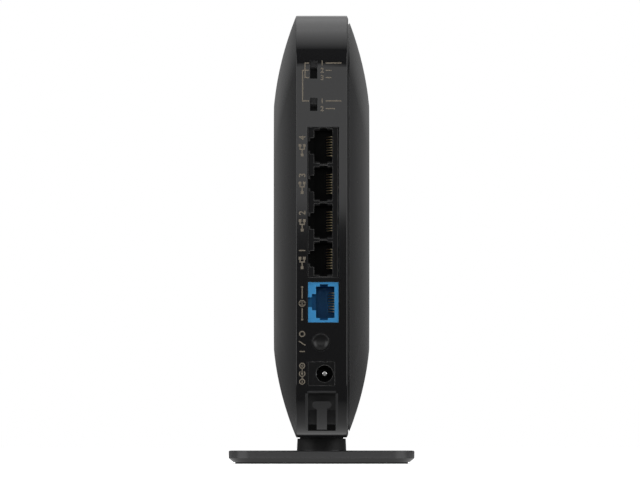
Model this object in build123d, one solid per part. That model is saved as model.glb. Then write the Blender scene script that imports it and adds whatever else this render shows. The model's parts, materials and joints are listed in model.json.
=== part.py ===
from build123d import *
import math
import os

os.makedirs("parts", exist_ok=True)

# Upright wireless router on a detachable stand, in millimetres.
# X runs across the thin body, Y from the port side (-Y) to the front (+Y), Z up from the table.
# The origin is on the table, under the middle of the body.

# ---- body shell ----
body_height = 160.0
body_depth = 160.0
body_width = 36.4
band_width = 19.2  # flat band around the rim, between the two flanks
corner_radius = 20.0
side_corner_radius = 24.0  # corner radius where a flank meets the flat side
flank_run = 33.5  # how far a flank reaches in from the rim
flank_crown = 1.35  # how far a flank bows out from a straight line
edge_round = 0.4
wall = 2.0

# ---- joint between the main case and the side cover ----
seam_offset = 0.5  # from the band's edge to the seam
seam_gap = 0.5
seam_depth = 4.0  # room for the snap arms behind the land
land_depth = 3.0
skirt_clearance = 0.3
skirt_thickness = 1.4
skirt_reach = 2.2
cover_screw_spots = (-13.0, 13.0)  # Y of the two screws under the stand
cover_screw_x = 2.0
cover_lug_width = 8.0
cover_lug_height = 6.0
cover_lug_end = -2.0
lug_clearance = 0.25
screw_seat_height = 4.0  # thickened case floor under each cover screw
snap_offset = 52.0  # from the middle of the top and front walls
snap_width = 8.0
snap_thickness = 1.4
snap_clearance = 0.25
snap_barb_length = 2.0
snap_barb_rise = 0.6
snap_start = 3.0

# ---- stand ----
stand_height = 10.0  # the body's lowest point above the table
plate_width = 70.7
plate_depth = 110.0
plate_top = 5.0
plate_corner_radius = 9.5
plate_chamfer_height = 1.5
plate_chamfer_inset = 1.8
plate_edge_round = 0.4
pad_thickness = 0.6
pad_margin = 0.7
neck_width_bottom = 18.9
neck_width_top = 18.4
neck_depth = 84.0
neck_corner_radius = 8.0
shadow_gap = 0.4  # thin step between the neck and the body
shadow_inset = 0.9
stand_skin = 2.4
core_count = 3
core_rib = 2.4
stand_travel = 7.4
hook_starts = (-36.0, 20.0)
hook_length = 7.0
hook_stem_width = 3.0
hook_head_width = 7.0
hook_head_height = 2.4
hook_clearance = 0.3
hook_lift = 0.15

# ---- circuit board ----
board_face = -5.1  # X of the side that carries the sockets
board_thickness = 1.6
board_rear_gap = 0.5
board_bottom = 19.0
board_top_drop = 15.0  # board's top edge below the body's top, behind the switches
board_main_drop = 30.0
board_step_y = -45.0
board_front_drop = 30.0  # board's front edge behind the front face
tongue_reach = 20.0
post_radius = 3.2
pilot_clearance = 0.05
screw_radius = 1.25
screw_head_radius = 2.4
screw_head_height = 1.6
screw_length = 7.0
screw_hole_clearance = 0.3
cross_width = 0.6
cross_depth = 0.8
edge_margin = 5.0
board_corner = 3.0
rear_screw_inset = 25.0
reset_screw_inset = 14.0

# ---- network sockets ----
port_pitch = 14.2
lan_count = 4
lan_first_height = 67.56  # lowest LAN socket above the body's underside
internet_height = 51.1
port_opening = 11.95
port_rise = 7.0
port_depth = 12.5
latch_step = 1.55
latch_wide = 6.17
latch_narrow = 3.76
latch_wide_depth = 8.0
latch_narrow_depth = 5.0
notch_width = 3.05
notch_depth = 6.0
notch_cut = 0.82
jack_depth = 15.5
jack_recess = 0.4
jack_clearance = 0.3
lan_mouth = 13.0
lan_lead_depth = 1.0
lan_left = -2.86
lan_notch_start = 2.08
lan_right_wall = 2.06
lan_end_wall = 0.6
internet_left = -2.12
internet_notch_start = 1.45
internet_right_wall = 1.52
internet_width = 15.2
window_right_gap = 0.4
contact_count = 8
contact_pitch = 1.02
contact_radius = 0.23
contact_drop = 2.3
contact_bend = 0.4
contact_back_bend = 0.35
contact_clearance = 0.06
contact_tip_depth = 10.8
contact_start_depth = 1.6
contact_tail = 0.9

# ---- power inlet, switch and button ----
dc_height = 24.1
dc_bore_x = 1.15
dc_bore_radius = 3.2
dc_bore_depth = 9.5
dc_body_width = 8.95
dc_body_rise = 10.1
dc_body_depth = 14.0
dc_recess = 0.3
dc_pin_radius = 1.05
dc_pin_recess = 1.5
dc_base_radius = 1.8
dc_base_length = 2.0
leaf_thickness = 0.4
leaf_width = 2.4
fit_gap = 0.02
power_height = 36.1
power_x = -0.3
power_cap_radius = 3.2
power_hole_clearance = 0.3
power_travel = 2.3
button_proud = 0.5
button_edge = 0.5
flange_width = 0.9
flange_thickness = 1.0
flange_gap = 0.2
power_switch_width = 8.0
power_switch_depth = 12.0
power_switch_face = 6.0  # switch body's face behind the panel's outer face
plunger_radius = 1.5
plunger_clearance = 0.08
plunger_length = 10.8
collar_radius = 2.5
collar_thickness = 1.0
chamber_radius = 2.75
chamber_wall = 1.5
spring_wire = 0.22
spring_turns = 6

# ---- slide switches ----
mode_drop = 21.1  # below the body's top
mode_window_length = 6.65
mode_knob_length = 2.2
mode_knob_ridges = 2
auto_drop = 34.1
auto_window_length = 5.0
auto_knob_length = 2.4
slide_window_width = 2.8
slide_x = -3.0
slide_knob_width = 2.4
slide_knob_recess = 0.5
slide_end_clearance = 0.1
slide_side_clearance = 0.1
slide_flange = 0.8
slide_flange_side = 0.2
slide_flange_depth = 1.6
slide_body_depth = 4.6
slide_body_height = 4.1
slide_skin = 0.6
ridge_height = 0.3
ridge_width = 0.45

# ---- front button, reset and lamps ----
wps_height = 40.0
wps_cap_width = 6.0
wps_cap_length = 12.0
wps_travel = 0.5
tact_size = 4.0
tact_length = 6.5
tact_x = -3.1
tact_stem_radius = 1.2
tact_stem_proud = 1.2
tact_stem_depth = 1.6
reset_y = 47.0
reset_travel = 0.3
reset_hole_radius = 1.2
lamp_count = 5
lamp_first_height = 91.0
lamp_pitch = 7.0
lamp_x = -3.4
pipe_width = 2.2
pipe_clearance = 0.1
lamp_length = 1.6
lamp_rise = 1.4
guide_bar_thickness = 2.0

# ---- vents ----
vent_width = 1.6
vent_length = 12.0
vent_pitch = 4.0
top_vent_count = 23
bottom_vent_spots = (-58.0, -54.0, -50.0, 50.0, 54.0, 58.0)

# ---- cable hook under the power inlet ----
hook_pocket_left = -5.2
hook_pocket_right = 5.35
hook_pocket_bottom = 2.5
hook_pocket_top = 16.8
hook_pocket_depth = 5.0
hook_ledge_depth = 8.5  # the pocket's floor is upright from here down, over two low openings
hook_ledge_bottom = 5.0
hook_ledge_top = 11.0
hook_pocket_end = 17.0  # how far the pocket reaches in from the panel
hook_pocket_wall = 1.6
hook_lip = 0.9
tee_width = 7.15
tee_bottom = 11.0
tee_top = 13.6
tee_stem_left = -1.8
tee_stem_right = 2.0
tee_skin = 0.3
tee_thickness = 1.8

# ---- cooling, chips and radio ----
sink_size = 44.0
sink_z = 84.0
sink_base = 2.0
sink_fin_height = 9.0
sink_fins = 9
sink_fin_thickness = 1.2
chip_size = 19.0
chip_thickness = 1.2
thermal_pad_thickness = 0.5
sink_pin_radius = 1.3
spreader_thickness = 1.0
spreader_pad_thickness = 1.5
shield_height = 3.2
shield_skin = 0.4
magnetics_depth = 9.5
magnetics_width = 12.0
magnetics_height = 5.2
magnetics_gap = 4.0
antenna_thickness = 0.8
antenna_lift = 1.1  # antenna's rear face above the board's face
antenna_post_radius = 2.2
antenna_peg_radius = 0.9
antenna_peg_clearance = 0.1
antenna_peg_proud = 0.8
lead_radius = 0.6
lead_gap = 0.05
plug_size = 3.0
plug_proud = 0.6

# ---- worked out from the values above ----
half_width = body_width / 2
half_depth = body_depth / 2
band_half = band_width / 2
body_bottom = stand_height
body_top = body_bottom + body_height
middle_z = body_bottom + body_height / 2
rear = -half_depth
front = half_depth
rear_inner = rear + wall
front_inner = front - wall
floor_inner = body_bottom + wall
beyond = 1.0  # how far a cutting shape runs past what it cuts
flank_slope = (half_width - band_half + 4 * flank_crown) / flank_run
flank_wall = wall * math.hypot(1, flank_slope)  # wall of a flank, measured along X
seam_x = band_half + seam_offset
board_back = board_face - board_thickness
board_rear = rear_inner + board_rear_gap
board_front = front - board_front_drop
board_top = body_top - board_top_drop
board_main_top = body_top - board_main_drop
tongue_front = board_front + tongue_reach
jack_face = rear + jack_recess
jack_back = jack_face + jack_depth
lan_heights = [body_bottom + lan_first_height + port_pitch * i for i in range(lan_count)]
internet_z = body_bottom + internet_height
dc_z = body_bottom + dc_height
power_z = body_bottom + power_height
mode_z = body_top - mode_drop
auto_z = body_top - auto_drop
wps_z = body_bottom + wps_height
lamp_heights = [body_bottom + lamp_first_height + lamp_pitch * i for i in range(lamp_count)]
mode_travel = mode_window_length - mode_knob_length - 2 * slide_end_clearance
auto_travel = auto_window_length - auto_knob_length - 2 * slide_end_clearance
antenna_back = board_face + antenna_lift
antenna_face = antenna_back + antenna_thickness
lead_x = antenna_face + lead_radius + lead_gap

board_screw_spots = (
    (rear + rear_screw_inset, board_top - edge_margin),
    (rear + rear_screw_inset, board_bottom + edge_margin),
    (board_front - edge_margin, board_main_top - edge_margin),
    (board_front - reset_screw_inset, board_bottom + edge_margin),
)

# Each antenna: its Y and Z limits, and whether its pegs stand along Y or along Z.
antenna_boards = (
    ((-34.0, -8.0), (body_top - 27.0, body_top - 5.0), "Y"),
    ((8.0, 34.0), (body_top - 27.0, body_top - 5.0), "Y"),
    ((front - 25.0, front - 5.0), (body_bottom + 52.0, body_bottom + 82.0), "Z"),
    ((front - 25.0, front - 5.0), (body_bottom + 12.0, body_bottom + 32.0), "Z"),
)

# Each antenna lead in the plane of its antenna: Y and Z from the antenna to its plug.
lead_routes = (
    ((-21, body_top - 20), (-21, body_top - 29), (-13, body_top - 36), (-3, body_top - 36)),
    ((21, body_top - 20), (21, body_top - 29), (13, body_top - 36), (4, body_top - 36)),
    ((front - 13, body_bottom + 70), (front - 20, body_bottom + 70),
     (front - 25.5, body_bottom + 84), (front - 32.5, body_bottom + 84)),
    ((front - 13, body_bottom + 20), (front - 20, body_bottom + 20),
     (front - 25.5, body_bottom + 28), (front - 32.5, body_bottom + 28)),
)


# ---- plain shapes ----
def block(x0, x1, y0, y1, z0, z1):
    return Pos((x0 + x1) / 2, (y0 + y1) / 2, (z0 + z1) / 2) * Box(x1 - x0, y1 - y0, z1 - z0)


def rod_x(y, z, radius, x0, x1):
    return Pos((x0 + x1) / 2, y, z) * Rot(0, 90, 0) * Cylinder(radius, x1 - x0)


def rod_y(x, z, radius, y0, y1):
    return Pos(x, (y0 + y1) / 2, z) * Rot(90, 0, 0) * Cylinder(radius, y1 - y0)


def rod_z(x, y, radius, z0, z1):
    return Pos(x, y, (z0 + z1) / 2) * Cylinder(radius, z1 - z0)


def slab(x0, x1):
    reach = body_depth + body_height
    return block(x0, x1, -reach, reach, -reach, reach)


def oblong_y(x, z, width, length, y0, y1):
    plane = Plane(origin=(x, y1, z), x_dir=(1, 0, 0), z_dir=(0, -1, 0))
    return extrude(plane * RectangleRounded(width, length, width / 2 - fit_gap), amount=y1 - y0)


def screw(head_radius, head_height, shank_radius, length):
    """A pan head screw that points down, with its seat at the origin."""
    head = Pos(0, 0, head_height / 2) * Cylinder(head_radius, head_height)
    head = fillet(head.edges().sort_by(Axis.Z)[-1], head_height / 3)
    shank = Pos(0, 0, -length / 2) * Cylinder(shank_radius, length)
    shank = chamfer(shank.edges().sort_by(Axis.Z)[0], shank_radius / 2)
    recess_z = head_height - cross_depth / 2
    reach = head_radius * 1.2
    cross = Pos(0, 0, recess_z) * (Box(reach, cross_width, cross_depth) + Box(cross_width, reach, cross_depth))
    return head + shank - cross


def save(node, *solids):
    shape = solids[0] if len(solids) == 1 else Compound(children=list(solids))
    export_step(shape, f"parts/{node}.step")


# ---- outline of the body ----
def outline(x, inset, radius):
    plane = Plane(origin=(x, 0, middle_z), x_dir=(0, 1, 0), z_dir=(1, 0, 0))
    return plane * RectangleRounded(body_depth - 2 * inset, body_height - 2 * inset, radius)


def prism(x0, x1, inset):
    """The rim's outline moved in by inset, all at one distance from the rim."""
    return extrude(outline(x0, inset, corner_radius - inset), amount=x1 - x0)


def flank_corner(inset):
    return corner_radius + (side_corner_radius - corner_radius) * inset / flank_run


def flank_prism(x0, x1, inset):
    """The flank's outline where it is inset from the rim."""
    return extrude(outline(x0, inset, flank_corner(inset)), amount=x1 - x0)


def flank_rise(inset):
    share = inset / flank_run
    return (half_width - band_half) * share + 4 * flank_crown * share * (1 - share)


def flank_inset(rise):
    """How far in from the rim the flank has risen by rise."""
    full = half_width - band_half + 4 * flank_crown
    root = math.sqrt(full * full - 16 * flank_crown * rise)
    return flank_run * (full - root) / (8 * flank_crown)


def flank():
    steps = 4
    insets = [flank_run * i / steps for i in range(steps + 1)]
    return loft([outline(band_half + flank_rise(t), t, flank_corner(t)) for t in insets])


def outer_body():
    right = flank()
    body = mirror(right, about=Plane.YZ) + prism(-band_half, band_half, 0) + right
    rims = [e for e in body.edges() if abs(abs(e.center().X) - band_half) < edge_round / 10]
    return fillet(rims, edge_round)


def inner_space():
    right = flank()
    left = mirror(right, about=Plane.YZ)
    reach = band_half - flank_wall
    space = Pos(flank_wall, 0, 0) * left + prism(-reach, reach, 0) + Pos(-flank_wall, 0, 0) * right
    return space & prism(-half_width, half_width, wall)


# ---- main case ----
def board_posts():
    posts = []
    for y, z in board_screw_spots:
        posts.append(rod_x(y, z, post_radius, -half_width, board_back))
    return posts


def board_pilots():
    pilots = []
    radius = screw_radius + pilot_clearance
    for y, z in board_screw_spots:
        pilots.append(rod_x(y, z, radius, board_back - screw_length, board_back + beyond))
    return pilots


def peg_spots(limits_y, limits_z, along):
    """The two peg places of an antenna board."""
    middle_y = sum(limits_y) / 2
    middle = sum(limits_z) / 2
    if along == "Y":
        return [(y, middle + edge_margin) for y in (limits_y[0] + edge_margin, limits_y[1] - edge_margin)]
    return [(middle_y + edge_margin, z) for z in (limits_z[0] + edge_margin, limits_z[1] - edge_margin)]


def antenna_posts():
    posts = []
    for limits_y, limits_z, along in antenna_boards:
        for y, z in peg_spots(limits_y, limits_z, along):
            posts.append(rod_x(y, z, antenna_post_radius, -half_width, antenna_back))
            tip = antenna_face + antenna_peg_proud
            posts.append(rod_x(y, z, antenna_peg_radius, antenna_back - beyond, tip))
    return posts


def hook_pocket_box(margin, y_start):
    return block(
        hook_pocket_left - margin,
        hook_pocket_right + margin,
        y_start,
        rear + hook_pocket_end + margin,
        body_bottom + hook_pocket_bottom,
        body_bottom + hook_pocket_top + margin,
    )


def hook_pocket_walls():
    tray = hook_pocket_box(hook_pocket_wall, rear) & prism(-band_half, band_half, edge_round)
    return tray - prism(-band_half, band_half, hook_pocket_depth + hook_pocket_wall)


def hook_pocket_cut():
    """The pocket behind the tee, with a sloped lip along its top edge."""
    pocket = hook_pocket_box(0, rear - beyond) - prism(-band_half, band_half, hook_pocket_depth)
    pocket -= block(hook_pocket_left - beyond, hook_pocket_right + beyond, rear + hook_ledge_depth,
                    rear + hook_pocket_end + beyond, body_bottom + hook_ledge_bottom, body_bottom + hook_ledge_top)
    top = body_bottom + hook_pocket_top
    slope = Polyline(
        (rear - hook_lip, top + 2 * hook_lip),
        (rear + hook_lip, top),
        (rear + hook_lip, top - hook_lip),
        (rear - hook_lip, top - hook_lip),
        close=True,
    )
    profile = Plane.YZ * make_face(slope)
    return pocket + Pos(hook_pocket_left, 0, 0) * extrude(profile, amount=hook_pocket_right - hook_pocket_left)


def cable_tee():
    """The tee that a cable is tucked behind: a strip of the band's own skin."""
    strip = prism(-band_half, band_half, tee_skin) - prism(-band_half, band_half, tee_skin + tee_thickness)
    head_z = body_bottom + (tee_bottom + tee_top) / 2
    head = oblong_y(0, 0, tee_top - tee_bottom, tee_width, rear - beyond, rear + hook_pocket_end)
    head = Pos((tee_stem_left + tee_stem_right) / 2, 0, head_z) * Rot(0, 90, 0) * head
    stem = block(
        tee_stem_left,
        tee_stem_right,
        rear - beyond,
        rear + hook_pocket_end,
        body_bottom + hook_pocket_bottom - edge_round,
        head_z,
    )
    return (head + stem) & strip


def panel_window(x0, x1, z0, z1):
    return block(x0, x1, rear - beyond, rear_inner + board_rear_gap, z0, z1)


def slide_window(z, length):
    half = slide_window_width / 2
    return panel_window(slide_x - half, slide_x + half, z - length / 2, z + length / 2)


def lan_limits():
    half = lan_mouth / 2 + lan_end_wall
    return lan_heights[0] - half, lan_heights[-1] + half


def panel_cuts():
    lan_low, lan_high = lan_limits()
    lan_right = lan_left + port_rise + lan_right_wall
    window_left = board_face - jack_clearance
    window_right = lan_right + window_right_gap
    half_internet = internet_width / 2 + jack_clearance / 2
    half_dc = dc_body_width / 2 + jack_clearance / 2
    dc_right = board_face + dc_body_rise + jack_clearance / 2
    return [
        slide_window(mode_z, mode_window_length),
        slide_window(auto_z, auto_window_length),
        panel_window(window_left, window_right, lan_low - jack_clearance / 2, lan_high + jack_clearance / 2),
        panel_window(window_left, window_right, internet_z - half_internet, internet_z + half_internet),
        panel_window(window_left, dc_right, dc_z - half_dc, dc_z + half_dc),
        rod_y(power_x, power_z, power_cap_radius + power_hole_clearance, rear - beyond, rear_inner + beyond),
    ]


def front_cuts():
    clearance = power_hole_clearance
    cuts = [
        oblong_y(0, wps_z, wps_cap_width + 2 * clearance, wps_cap_length + 2 * clearance,
                 front_inner - beyond, front + beyond)
    ]
    half = pipe_width / 2 + pipe_clearance
    for z in lamp_heights:
        cuts.append(block(lamp_x - half, lamp_x + half, front_inner - beyond, front + beyond, z - half, z + half))
    return cuts


def vent(y, z0, z1):
    plane = Plane(origin=(0, y, z0))
    return extrude(plane * RectangleRounded(vent_length, vent_width, vent_width / 2 - fit_gap), amount=z1 - z0)


def vent_cuts():
    cuts = []
    for i in range(top_vent_count):
        y = (i - (top_vent_count - 1) / 2) * vent_pitch
        cuts.append(vent(y, body_top - wall - beyond, body_top + beyond))
    for y in bottom_vent_spots:
        cuts.append(vent(y, body_bottom - beyond, floor_inner + beyond))
    return cuts


def stand_slots():
    """Each slot lets a hook's head in at one end and holds it at the other."""
    cuts = []
    stem_half = hook_stem_width / 2 + hook_clearance
    head_half = hook_head_width / 2 + hook_clearance
    for start in hook_starts:
        entry = start + stand_travel - hook_clearance
        end = start + stand_travel + hook_length + hook_clearance
        cuts.append(block(-stem_half, stem_half, start - hook_clearance, end, body_bottom - beyond,
                          floor_inner + beyond))
        cuts.append(block(-head_half, head_half, entry, end, body_bottom - beyond, floor_inner + beyond))
    return cuts


def cover_screw_seats():
    half = cover_lug_width / 2
    seats = []
    for y in cover_screw_spots:
        seats.append(block(cover_screw_x - half, cover_screw_x + half, y - half, y + half,
                           floor_inner - beyond, body_bottom + screw_seat_height))
    return seats


def cover_screw_cuts():
    cuts = []
    head = screw_head_radius + screw_hole_clearance
    for y in cover_screw_spots:
        cuts.append(rod_z(cover_screw_x, y, head, body_bottom - beyond, floor_inner))
        cuts.append(rod_z(cover_screw_x, y, screw_radius + screw_hole_clearance, body_bottom,
                          body_bottom + screw_seat_height + beyond))
    return cuts


def cover_lugs(clearance):
    """Lugs of the side cover that reach over the case floor, grown by clearance."""
    half = cover_lug_width / 2 + clearance
    low = body_bottom + screw_seat_height
    lugs = []
    for y in cover_screw_spots:
        lugs.append(block(cover_lug_end - clearance, seam_x + seam_depth, y - half, y + half,
                          low - (clearance > 0) * fit_gap, low + cover_lug_height + clearance))
    return lugs


def wall_spots():
    """Turns that carry a shape from the top wall to each snap's place."""
    to_front = Pos(0, 0, middle_z) * Rot(-90, 0, 0) * Pos(0, 0, -middle_z)
    spots = []
    for turn in (Pos(0, 0, 0), to_front):
        for side in (-1, 1):
            spots.append(turn * Pos(0, side * snap_offset, 0))
    return spots


def snap_fingers():
    """Arms of the cover that pass the seam behind its land, each with a barb in the wall."""
    half = snap_width / 2
    arm_top = body_top - seam_depth - 2 * snap_clearance
    arm = block(snap_start, seam_x + 2 * seam_gap, -half, half, arm_top - snap_thickness, arm_top)
    barb = block(snap_start, snap_start + snap_barb_length, -half, half, arm_top,
                 body_top - wall + snap_barb_rise)
    return [spot * (arm + barb) for spot in wall_spots()]


def snap_cuts():
    """Room for the barbs in the wall and for the arms in the case's rim."""
    half = snap_width / 2 + snap_clearance
    arm_top = body_top - seam_depth - 2 * snap_clearance
    pocket = block(snap_start - snap_clearance, snap_start + snap_barb_length + snap_clearance, -half, half,
                   body_top - wall - snap_clearance, body_top - wall + snap_barb_rise + snap_clearance)
    rim = block(snap_start, seam_x + beyond, -half, half, arm_top - snap_thickness - snap_clearance,
                arm_top + snap_clearance)
    return [spot * shape for spot in wall_spots() for shape in (pocket, rim)]


def main_case(outer, shell):
    case = shell & slab(-half_width - beyond, seam_x)
    for post in board_posts() + antenna_posts():
        case += post & outer
    case += hook_pocket_walls()
    for seat in cover_screw_seats():
        case += seat
    cuts = panel_cuts() + front_cuts() + vent_cuts() + stand_slots() + cover_screw_cuts()
    cuts += board_pilots() + cover_lugs(lug_clearance) + snap_cuts()
    cuts.append(rod_z(tact_x, reset_y, reset_hole_radius, body_bottom - beyond, floor_inner + beyond))
    case = case - hook_pocket_cut() - Compound(children=cuts)
    return case + cable_tee()


# ---- side cover ----
def side_cover(outer, shell):
    top = seam_x + seam_gap
    cover = shell & slab(top, half_width + beyond)
    cover += (shell & slab(seam_x, top)) & flank_prism(seam_x, top, land_depth)
    inset = flank_inset(seam_offset + flank_wall) + skirt_clearance
    skirt_end = top + seam_gap
    skirt = flank_prism(seam_x - skirt_reach, skirt_end, inset)
    cover += skirt - flank_prism(seam_x - skirt_reach - beyond, skirt_end + beyond, inset + skirt_thickness)
    for shape in cover_lugs(0) + snap_fingers():
        cover += shape & outer
    pilot = screw_radius + pilot_clearance
    low = body_bottom + screw_seat_height
    for y in cover_screw_spots:
        cover -= rod_z(cover_screw_x, y, pilot, low - beyond, low + cover_lug_height + beyond)
    return cover


def cover_screws():
    screws = []
    for y in cover_screw_spots:
        part = screw(screw_head_radius, screw_head_height, screw_radius, screw_length)
        screws.append(Pos(cover_screw_x, y, floor_inner) * Rot(180, 0, 0) * part)
    return screws


# ---- stand ----
def rounded_plate(width, depth, radius, z):
    return Plane(origin=(0, 0, z)) * RectangleRounded(width, depth, radius)


def stand():
    low = pad_thickness
    straight = low + plate_chamfer_height
    shrink = 2 * plate_chamfer_inset
    small = rounded_plate(plate_width - shrink, plate_depth - shrink, plate_corner_radius - plate_chamfer_inset, low)
    full = rounded_plate(plate_width, plate_depth, plate_corner_radius, straight)
    upper = extrude(full, amount=plate_top - straight)
    rim = upper.edges().group_by(Axis.Z)[-1]
    plate = loft([small, full]) + fillet(rim, plate_edge_round)
    neck_top = body_bottom - shadow_gap
    neck = loft([
        rounded_plate(neck_width_bottom, neck_depth, neck_corner_radius, plate_top - plate_edge_round),
        rounded_plate(neck_width_top, neck_depth, neck_corner_radius, neck_top),
    ])
    inset = 2 * shadow_inset
    seat = extrude(
        rounded_plate(neck_width_top - inset, neck_depth - inset, neck_corner_radius - shadow_inset, neck_top),
        amount=shadow_gap,
    )
    part = plate + neck + seat
    for core in stand_cores():
        part -= core
    for shape in stand_hooks():
        part += shape
    return part


def stand_cores():
    """Hollows under the neck, which the pad closes."""
    width = neck_width_top - 2 * stand_skin
    depth = neck_depth - 2 * stand_skin
    length = (depth - (core_count - 1) * core_rib) / core_count
    cores = []
    for i in range(core_count):
        y0 = -depth / 2 + i * (length + core_rib)
        cores.append(block(-width / 2, width / 2, y0, y0 + length, 0, body_bottom - shadow_gap - stand_skin))
    return cores


def stand_hooks():
    hooks = []
    head_low = floor_inner + hook_lift
    for y in hook_starts:
        hooks.append(block(-hook_stem_width / 2, hook_stem_width / 2, y, y + hook_length,
                           body_bottom - shadow_gap, head_low + shadow_gap))
        hooks.append(block(-hook_head_width / 2, hook_head_width / 2, y, y + hook_length,
                           head_low, head_low + hook_head_height))
    return hooks


def stand_pad():
    shrink = 2 * (plate_chamfer_inset + pad_margin)
    face = rounded_plate(plate_width - shrink, plate_depth - shrink, plate_corner_radius - plate_chamfer_inset, 0)
    return extrude(face, amount=pad_thickness)


# ---- circuit board ----
def contact_offsets():
    return [(i - (contact_count - 1) / 2) * contact_pitch for i in range(contact_count)]


def main_board():
    board = block(board_back, board_face, board_rear, board_front, board_bottom, board_top)
    board -= block(board_back - beyond, board_face + beyond, board_step_y, board_front + beyond,
                   board_main_top, board_top + beyond)
    pocket_margin = hook_pocket_wall + jack_clearance * 2
    board -= block(board_back - beyond, board_face + beyond, board_rear - beyond,
                   rear + hook_pocket_end + pocket_margin, board_bottom - beyond,
                   body_bottom + hook_pocket_top + pocket_margin)
    half_tact = tact_length / 2 + edge_margin / 2
    board += block(board_back, board_face, board_front - beyond, tongue_front, wps_z - half_tact,
                   wps_z + half_tact)
    lamp_edge = lamp_pitch / 2
    board += block(board_back, board_face, board_front - beyond, tongue_front,
                   lamp_heights[0] - lamp_edge, lamp_heights[-1] + lamp_edge)
    board = fillet(board.edges().filter_by(Axis.X), board_corner)
    holes = []
    for y, z in board_screw_spots:
        holes.append(rod_x(y, z, screw_radius + screw_hole_clearance, board_back - beyond, board_face + beyond))
    for y, z in sink_pin_spots():
        holes.append(rod_x(y, z, sink_pin_radius + screw_hole_clearance, board_back - beyond, board_face + beyond))
    tail_y = jack_back - contact_radius - contact_clearance
    for port_z in lan_heights + [internet_z]:
        for offset in contact_offsets():
            holes.append(rod_x(tail_y, port_z + offset, contact_radius + contact_clearance,
                               board_back - beyond, board_face + beyond))
    return board - Compound(children=holes)


def board_screws():
    screws = []
    for y, z in board_screw_spots:
        part = screw(screw_head_radius, screw_head_height, screw_radius, screw_length)
        screws.append(Pos(board_face, y, z) * Rot(0, 90, 0) * part)
    return screws


# ---- network sockets ----
def port_cut(left, z, mouth, notch_start):
    """The hollow of one socket, with its latch steps and side notches."""
    start = jack_face - beyond
    right = left + port_rise
    half = port_opening / 2
    notch_half = half + notch_cut
    notch_left = left + notch_start
    shapes = [
        block(left, right, start, jack_face + port_depth, z - half, z + half),
        block(left - latch_step, left + fit_gap, start, jack_face + latch_wide_depth,
              z - latch_wide / 2, z + latch_wide / 2),
        block(board_face - beyond, left - latch_step + fit_gap, start, jack_face + latch_narrow_depth,
              z - latch_narrow / 2, z + latch_narrow / 2),
        block(notch_left, notch_left + notch_width, start, jack_face + notch_depth,
              z - notch_half, z + notch_half),
    ]
    if mouth > port_opening:
        shapes.append(block(left, right, start, jack_face + lan_lead_depth, z - mouth / 2, z + mouth / 2))
    return shapes


def contact_grooves(left, z):
    right = left + port_rise
    half = contact_radius + contact_clearance
    floor = right + 2 * contact_radius
    tail_depth = 2 * contact_radius + 2 * contact_clearance
    shapes = []
    for offset in contact_offsets():
        middle = z + offset
        shapes.append(block(right - half, floor, jack_face + contact_start_depth, jack_back + beyond,
                            middle - half, middle + half))
        shapes.append(block(board_face - beyond, floor, jack_back - tail_depth, jack_back + beyond,
                            middle - half, middle + half))
    return shapes


def contact(left, z):
    """One spring wire: from its tip, round the front bend, back along the wall and down to the board."""
    wall_x = left + port_rise + contact_clearance
    tail_y = jack_back - contact_radius - contact_clearance
    points = [
        (wall_x - contact_drop, jack_face + contact_tip_depth, z),
        (wall_x, jack_face + contact_start_depth, z),
        (wall_x, tail_y, z),
        (board_back - contact_tail, tail_y, z),
    ]
    path = FilletPolyline(*points, radius=[contact_bend, contact_back_bend])
    return sweep(Plane(path ^ 0) * Circle(contact_radius), path=path)


def contacts(left, heights):
    return [contact(left, z + offset) for z in heights for offset in contact_offsets()]


def lan_jack():
    low, high = lan_limits()
    right = lan_left + port_rise + lan_right_wall
    cuts = []
    for z in lan_heights:
        cuts += port_cut(lan_left, z, lan_mouth, lan_notch_start)
        cuts += contact_grooves(lan_left, z)
    return block(board_face, right, jack_face, jack_back, low, high) - Compound(children=cuts)


def internet_jack():
    right = internet_left + port_rise + internet_right_wall
    half = internet_width / 2
    cuts = port_cut(internet_left, internet_z, port_opening, internet_notch_start)
    cuts += contact_grooves(internet_left, internet_z)
    body = block(board_face, right, jack_face, jack_back, internet_z - half, internet_z + half)
    return body - Compound(children=cuts)


# ---- power inlet ----
def dc_jack():
    face = rear + dc_recess
    half = dc_body_width / 2
    bore_end = face + dc_bore_depth
    body = block(board_face, board_face + dc_body_rise, face, face + dc_body_depth, dc_z - half, dc_z + half)
    body -= rod_y(dc_bore_x, dc_z, dc_bore_radius, face - beyond, bore_end)
    body -= rod_y(dc_bore_x, dc_z, dc_base_radius + fit_gap, bore_end - beyond, bore_end + dc_base_length)
    body -= rod_y(dc_bore_x, dc_z, dc_pin_radius + fit_gap, bore_end, face + dc_body_depth + beyond)
    return body - leaf_slot()


def leaf_slot():
    face = rear + dc_recess
    half = leaf_width / 2 + contact_clearance
    outer_x = dc_bore_x - dc_bore_radius - leaf_thickness - contact_clearance
    return block(outer_x, dc_bore_x - dc_bore_radius + leaf_thickness, face + dc_base_length,
                 face + dc_body_depth + beyond, dc_z - half, dc_z + half)


def dc_centre_pin():
    face = rear + dc_recess
    bore_end = face + dc_bore_depth
    pin = rod_y(dc_bore_x, dc_z, dc_pin_radius, rear + dc_pin_recess, face + dc_body_depth)
    tip = pin.edges().sort_by(Axis.Y)[0]
    return fillet(tip, dc_pin_radius / 2) + rod_y(dc_bore_x, dc_z, dc_base_radius, bore_end,
                                                  bore_end + dc_base_length)


def dc_leaf():
    face = rear + dc_recess
    outer_x = dc_bore_x - dc_bore_radius - leaf_thickness
    strip = block(outer_x, outer_x + leaf_thickness, face + dc_base_length + contact_clearance,
                  face + dc_body_depth + leaf_thickness, dc_z - leaf_width / 2, dc_z + leaf_width / 2)
    foot = block(board_face, outer_x + leaf_thickness, face + dc_body_depth,
                 face + dc_body_depth + leaf_thickness, dc_z - leaf_width / 2, dc_z + leaf_width / 2)
    return strip + foot


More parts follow.
